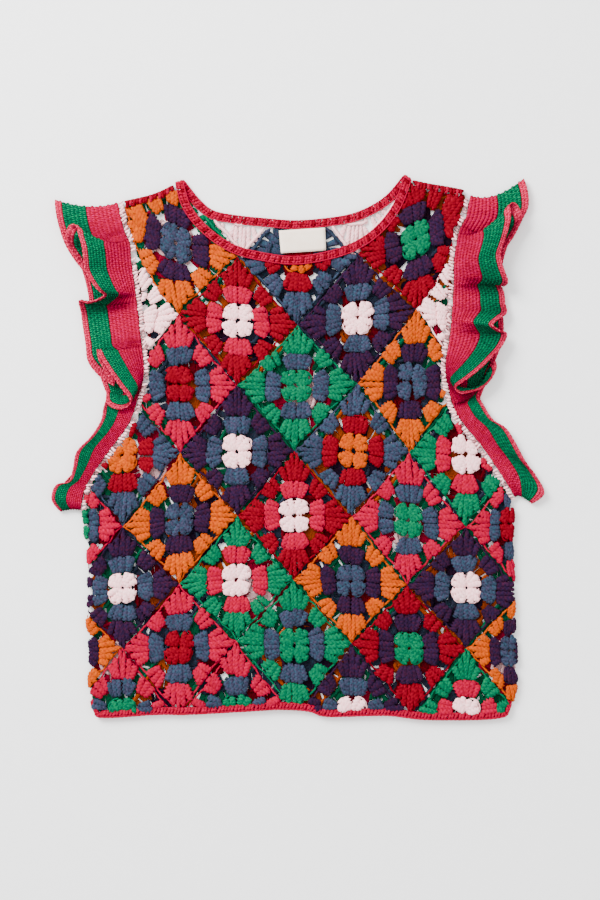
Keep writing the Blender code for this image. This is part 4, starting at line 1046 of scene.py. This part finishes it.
# Shade where the cloth lies lower than what is along it, or slopes away, mostly towards the hem.
def valleyShade(grid, normal):
    reach = round(ruffle["valley"] / ruffle["alongStep"])
    around = sum(np.roll(grid[..., 2], step, 0) for step in (-reach, -reach // 2, reach // 2, reach)) / 4
    up = normal * np.sign(normal[..., 2:] + 1e-9)
    shade = np.clip((around - grid[..., 2]) * ruffle["valleyShade"], 0, 1)
    shade += (1 - up[..., 2]) * ruffle["slopeShade"] + np.clip(-up[..., 1], 0, 1) * ruffle["downShade"]
    return np.clip(shade, 0, ruffle["deepest"]).ravel()


for side, (seam, stations, hand) in armholes.items():
    count = len(stations)
    fine = np.arange(0, count, ruffle["guideStep"])
    guide = ruffleCloth(side, fine, np.array(ruffle["guide"])).mean(1)
    lengths = lengthsOf(np.vstack([guide, guide[:1]]))
    total = round(lengths[-1] / ruffle["alongStep"])
    places = np.interp(np.arange(total) * lengths[-1] / total, lengths, np.append(fine, count))
    stitchPlace = np.arange(total) * round(lengths[-1] / ruffle["stitch"]) / total
    for part, yarn, start, end, rowCount in ruffle["parts"]:
        grid, normal, half, rowPlace = ruffleShell(side, places, stitchPlace, start, end, rowCount)
        points, faces, uvs = closedShell(grid, normal, half, stitchPlace, rowPlace)
        # The third value is the painted shade of valleys and slopes; the tone is even and there is no
        # furrow.
        wear = np.column_stack([np.full(len(points), 0.5), np.zeros(len(points)),
                                np.tile(valleyShade(grid, normal), 2)])
        if part == "edge":
            cord = newBatch()
            addChain(cord, grid[:, -1] + (0, 0, ruffle["cordRise"]), normal[:, -1] * hand, yarn,
                     ruffle["cordSides"], ruffle["cord"], True)
            faces += [[index + len(points) for index in face] for face in cord["faces"]]
            points, uvs, wear = (np.concatenate([shell, *cord[kind]]) for shell, kind in
                                 ((points, "points"), (uvs, "uvs"), (wear, "wear")))
        piece = finishPiece(f"ruffle_{side}_{part}", points, faces, uvs, [yarn + "Rows"], "stitch",
                            wear)
        width = np.linalg.norm(np.diff(grid, axis=1), axis=2).sum(1).mean()
        if part == "edge":
            trims[f"ruffle{side.title()}Stripe"] = [piece]
    batch = newBatch()
    ringPlaces = np.arange(0, count, edging["ringStep"])
    heights = roundCurve(stations, ringPlaces, True)[:, 0]
    line = np.column_stack([seamAt(seam, heights)[0], heights, layerHeight(ringPlaces, count)])
    low, high, bare = edging["sparse"][side]
    for x, y, z in respaced(np.vstack([line, line[:1]]), edging["pitch"], True):
        x, *along = (float(value) for value in seamAt(seam, y))
        outward = 1 if z >= layers["fold"] else -1
        reach = np.array([along[1], -along[0]]) * hand * edging["width"] / 2
        reach *= chance.uniform(*edging["widths"])
        reach += np.array(along) * (edging["lean"] + chance.normal(0, edging["stray"])) / 2
        half = edging["half"] * chance.uniform(*edging["halves"])
        height = z + outward * edging["rise"]
        if chance.uniform() > (bare if outward > 0 and low < y < high else edging["missing"]):
            addPost(batch, (x - reach[0], y - reach[1], height), (x + reach[0], y + reach[1], height),
                    edging["arch"], half, half * edging["taper"], band, "cream", ups=(0, 0, outward))
    trims[f"ruffle{side.title()}Base"] = [finishYarn(batch, f"armhole_edging_{side}")]

# A bare tape, bowed a little, between its four corners from the upper left round to the lower left.
label = {"thick": 0.7, "height": 3.9, "bow": 0.5, "steps": (14, 8), "cut": (0.0455, 0.0227),
         "corners": ((-18.5, 216.5), (27.5, 219.5), (28.5, 196.6), (-16.5, 193.8))}
columns, levels = label["steps"]
across, upward = np.meshgrid(np.linspace(0, 1, columns + 1), np.linspace(0, 1, levels + 1), indexing="ij")
shares = np.stack([(1 - across) * upward, across * upward, across * (1 - upward),
                   (1 - across) * (1 - upward)], -1)
flat = (shares @ np.array(label["corners"])).reshape(-1, 2)
bow = (label["bow"] * np.sin(math.pi * across) * np.sin(math.pi * upward)).ravel()
points = np.concatenate([np.column_stack([flat, label["height"] + side * label["thick"] / 2 + bow])
                         for side in (1, -1)])
number = np.arange(len(flat)).reshape(columns + 1, levels + 1)
low = number[:-1, :-1]
top = np.stack([low, low + levels + 1, low + levels + 2, low + 1], -1).reshape(-1, 4)
rim = np.concatenate([number[:, 0], number[-1, 1:], number[-2::-1, -1], number[0, -2:0:-1]])
turned = np.roll(rim, -1)
faces = np.concatenate([top, top[:, ::-1] + len(flat),
                        np.stack([rim, rim + len(flat), turned + len(flat), turned], -1)])
piece = finishPiece("neck_label", points, faces.tolist(), points[faces.ravel(), :2] / 10, ["label"])
print("ruffles, label and sheets done")

studio = {"floor": 3.0, "under": -0.0002, "paper": ((250, 250, 250), (246, 246, 247)), "sky": 1.62,
          "lens": 85.0, "camera": (0.0025, -0.0025, 2.125),
          "lights": (("key", (-1.5, 1.6, 1.6), 1.4, 215.0), ("fill", (1.4, -0.9, 2.0), 2.0, 18.0))}
floorMesh = bpy.data.meshes.new("floor")
floorMesh.from_pydata([(x * studio["floor"], y * studio["floor"], studio["under"])
                       for x, y in ((-1, -1), (1, -1), (1, 1), (-1, 1))], [], [(0, 1, 2, 3)])
paper, tree, inputs = newMaterial("paper")
wire(tree, inputs["Base Color"], blended(tree, noiseOf(tree, placeOf(tree), 60),
                                         *(linear(shade) for shade in studio["paper"])))
inputs["Roughness"].default_value = 0.9
floorMesh.materials.append(paper)
linked("floor", floorMesh)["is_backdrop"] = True

world = bpy.data.worlds.new("sky")
world.use_nodes = True
sky = world.node_tree.nodes["Background"].inputs
sky["Color"].default_value = (1, 1, 1, 1)
sky["Strength"].default_value = studio["sky"]
bpy.context.scene.world = world
for name, place, width, power in studio["lights"]:
    lamp = bpy.data.lights.new(name, "AREA")
    lamp.size = width
    lamp.energy = power
    light = linked(name, lamp)
    light.location = place
    aim = unit(np.array(place))
    light.rotation_euler = (math.acos(aim[2]), 0, math.atan2(aim[1], aim[0]) + math.pi / 2)

lens = bpy.data.cameras.new("camera")
lens.lens = studio["lens"]
lens.sensor_width = 36
camera = linked("camera", lens)
camera.location = studio["camera"]
bpy.context.scene.camera = camera

total = sum(len(face.vertices) - 2 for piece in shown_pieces() for face in piece.data.polygons)
print("triangles shown:", total)
low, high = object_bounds()
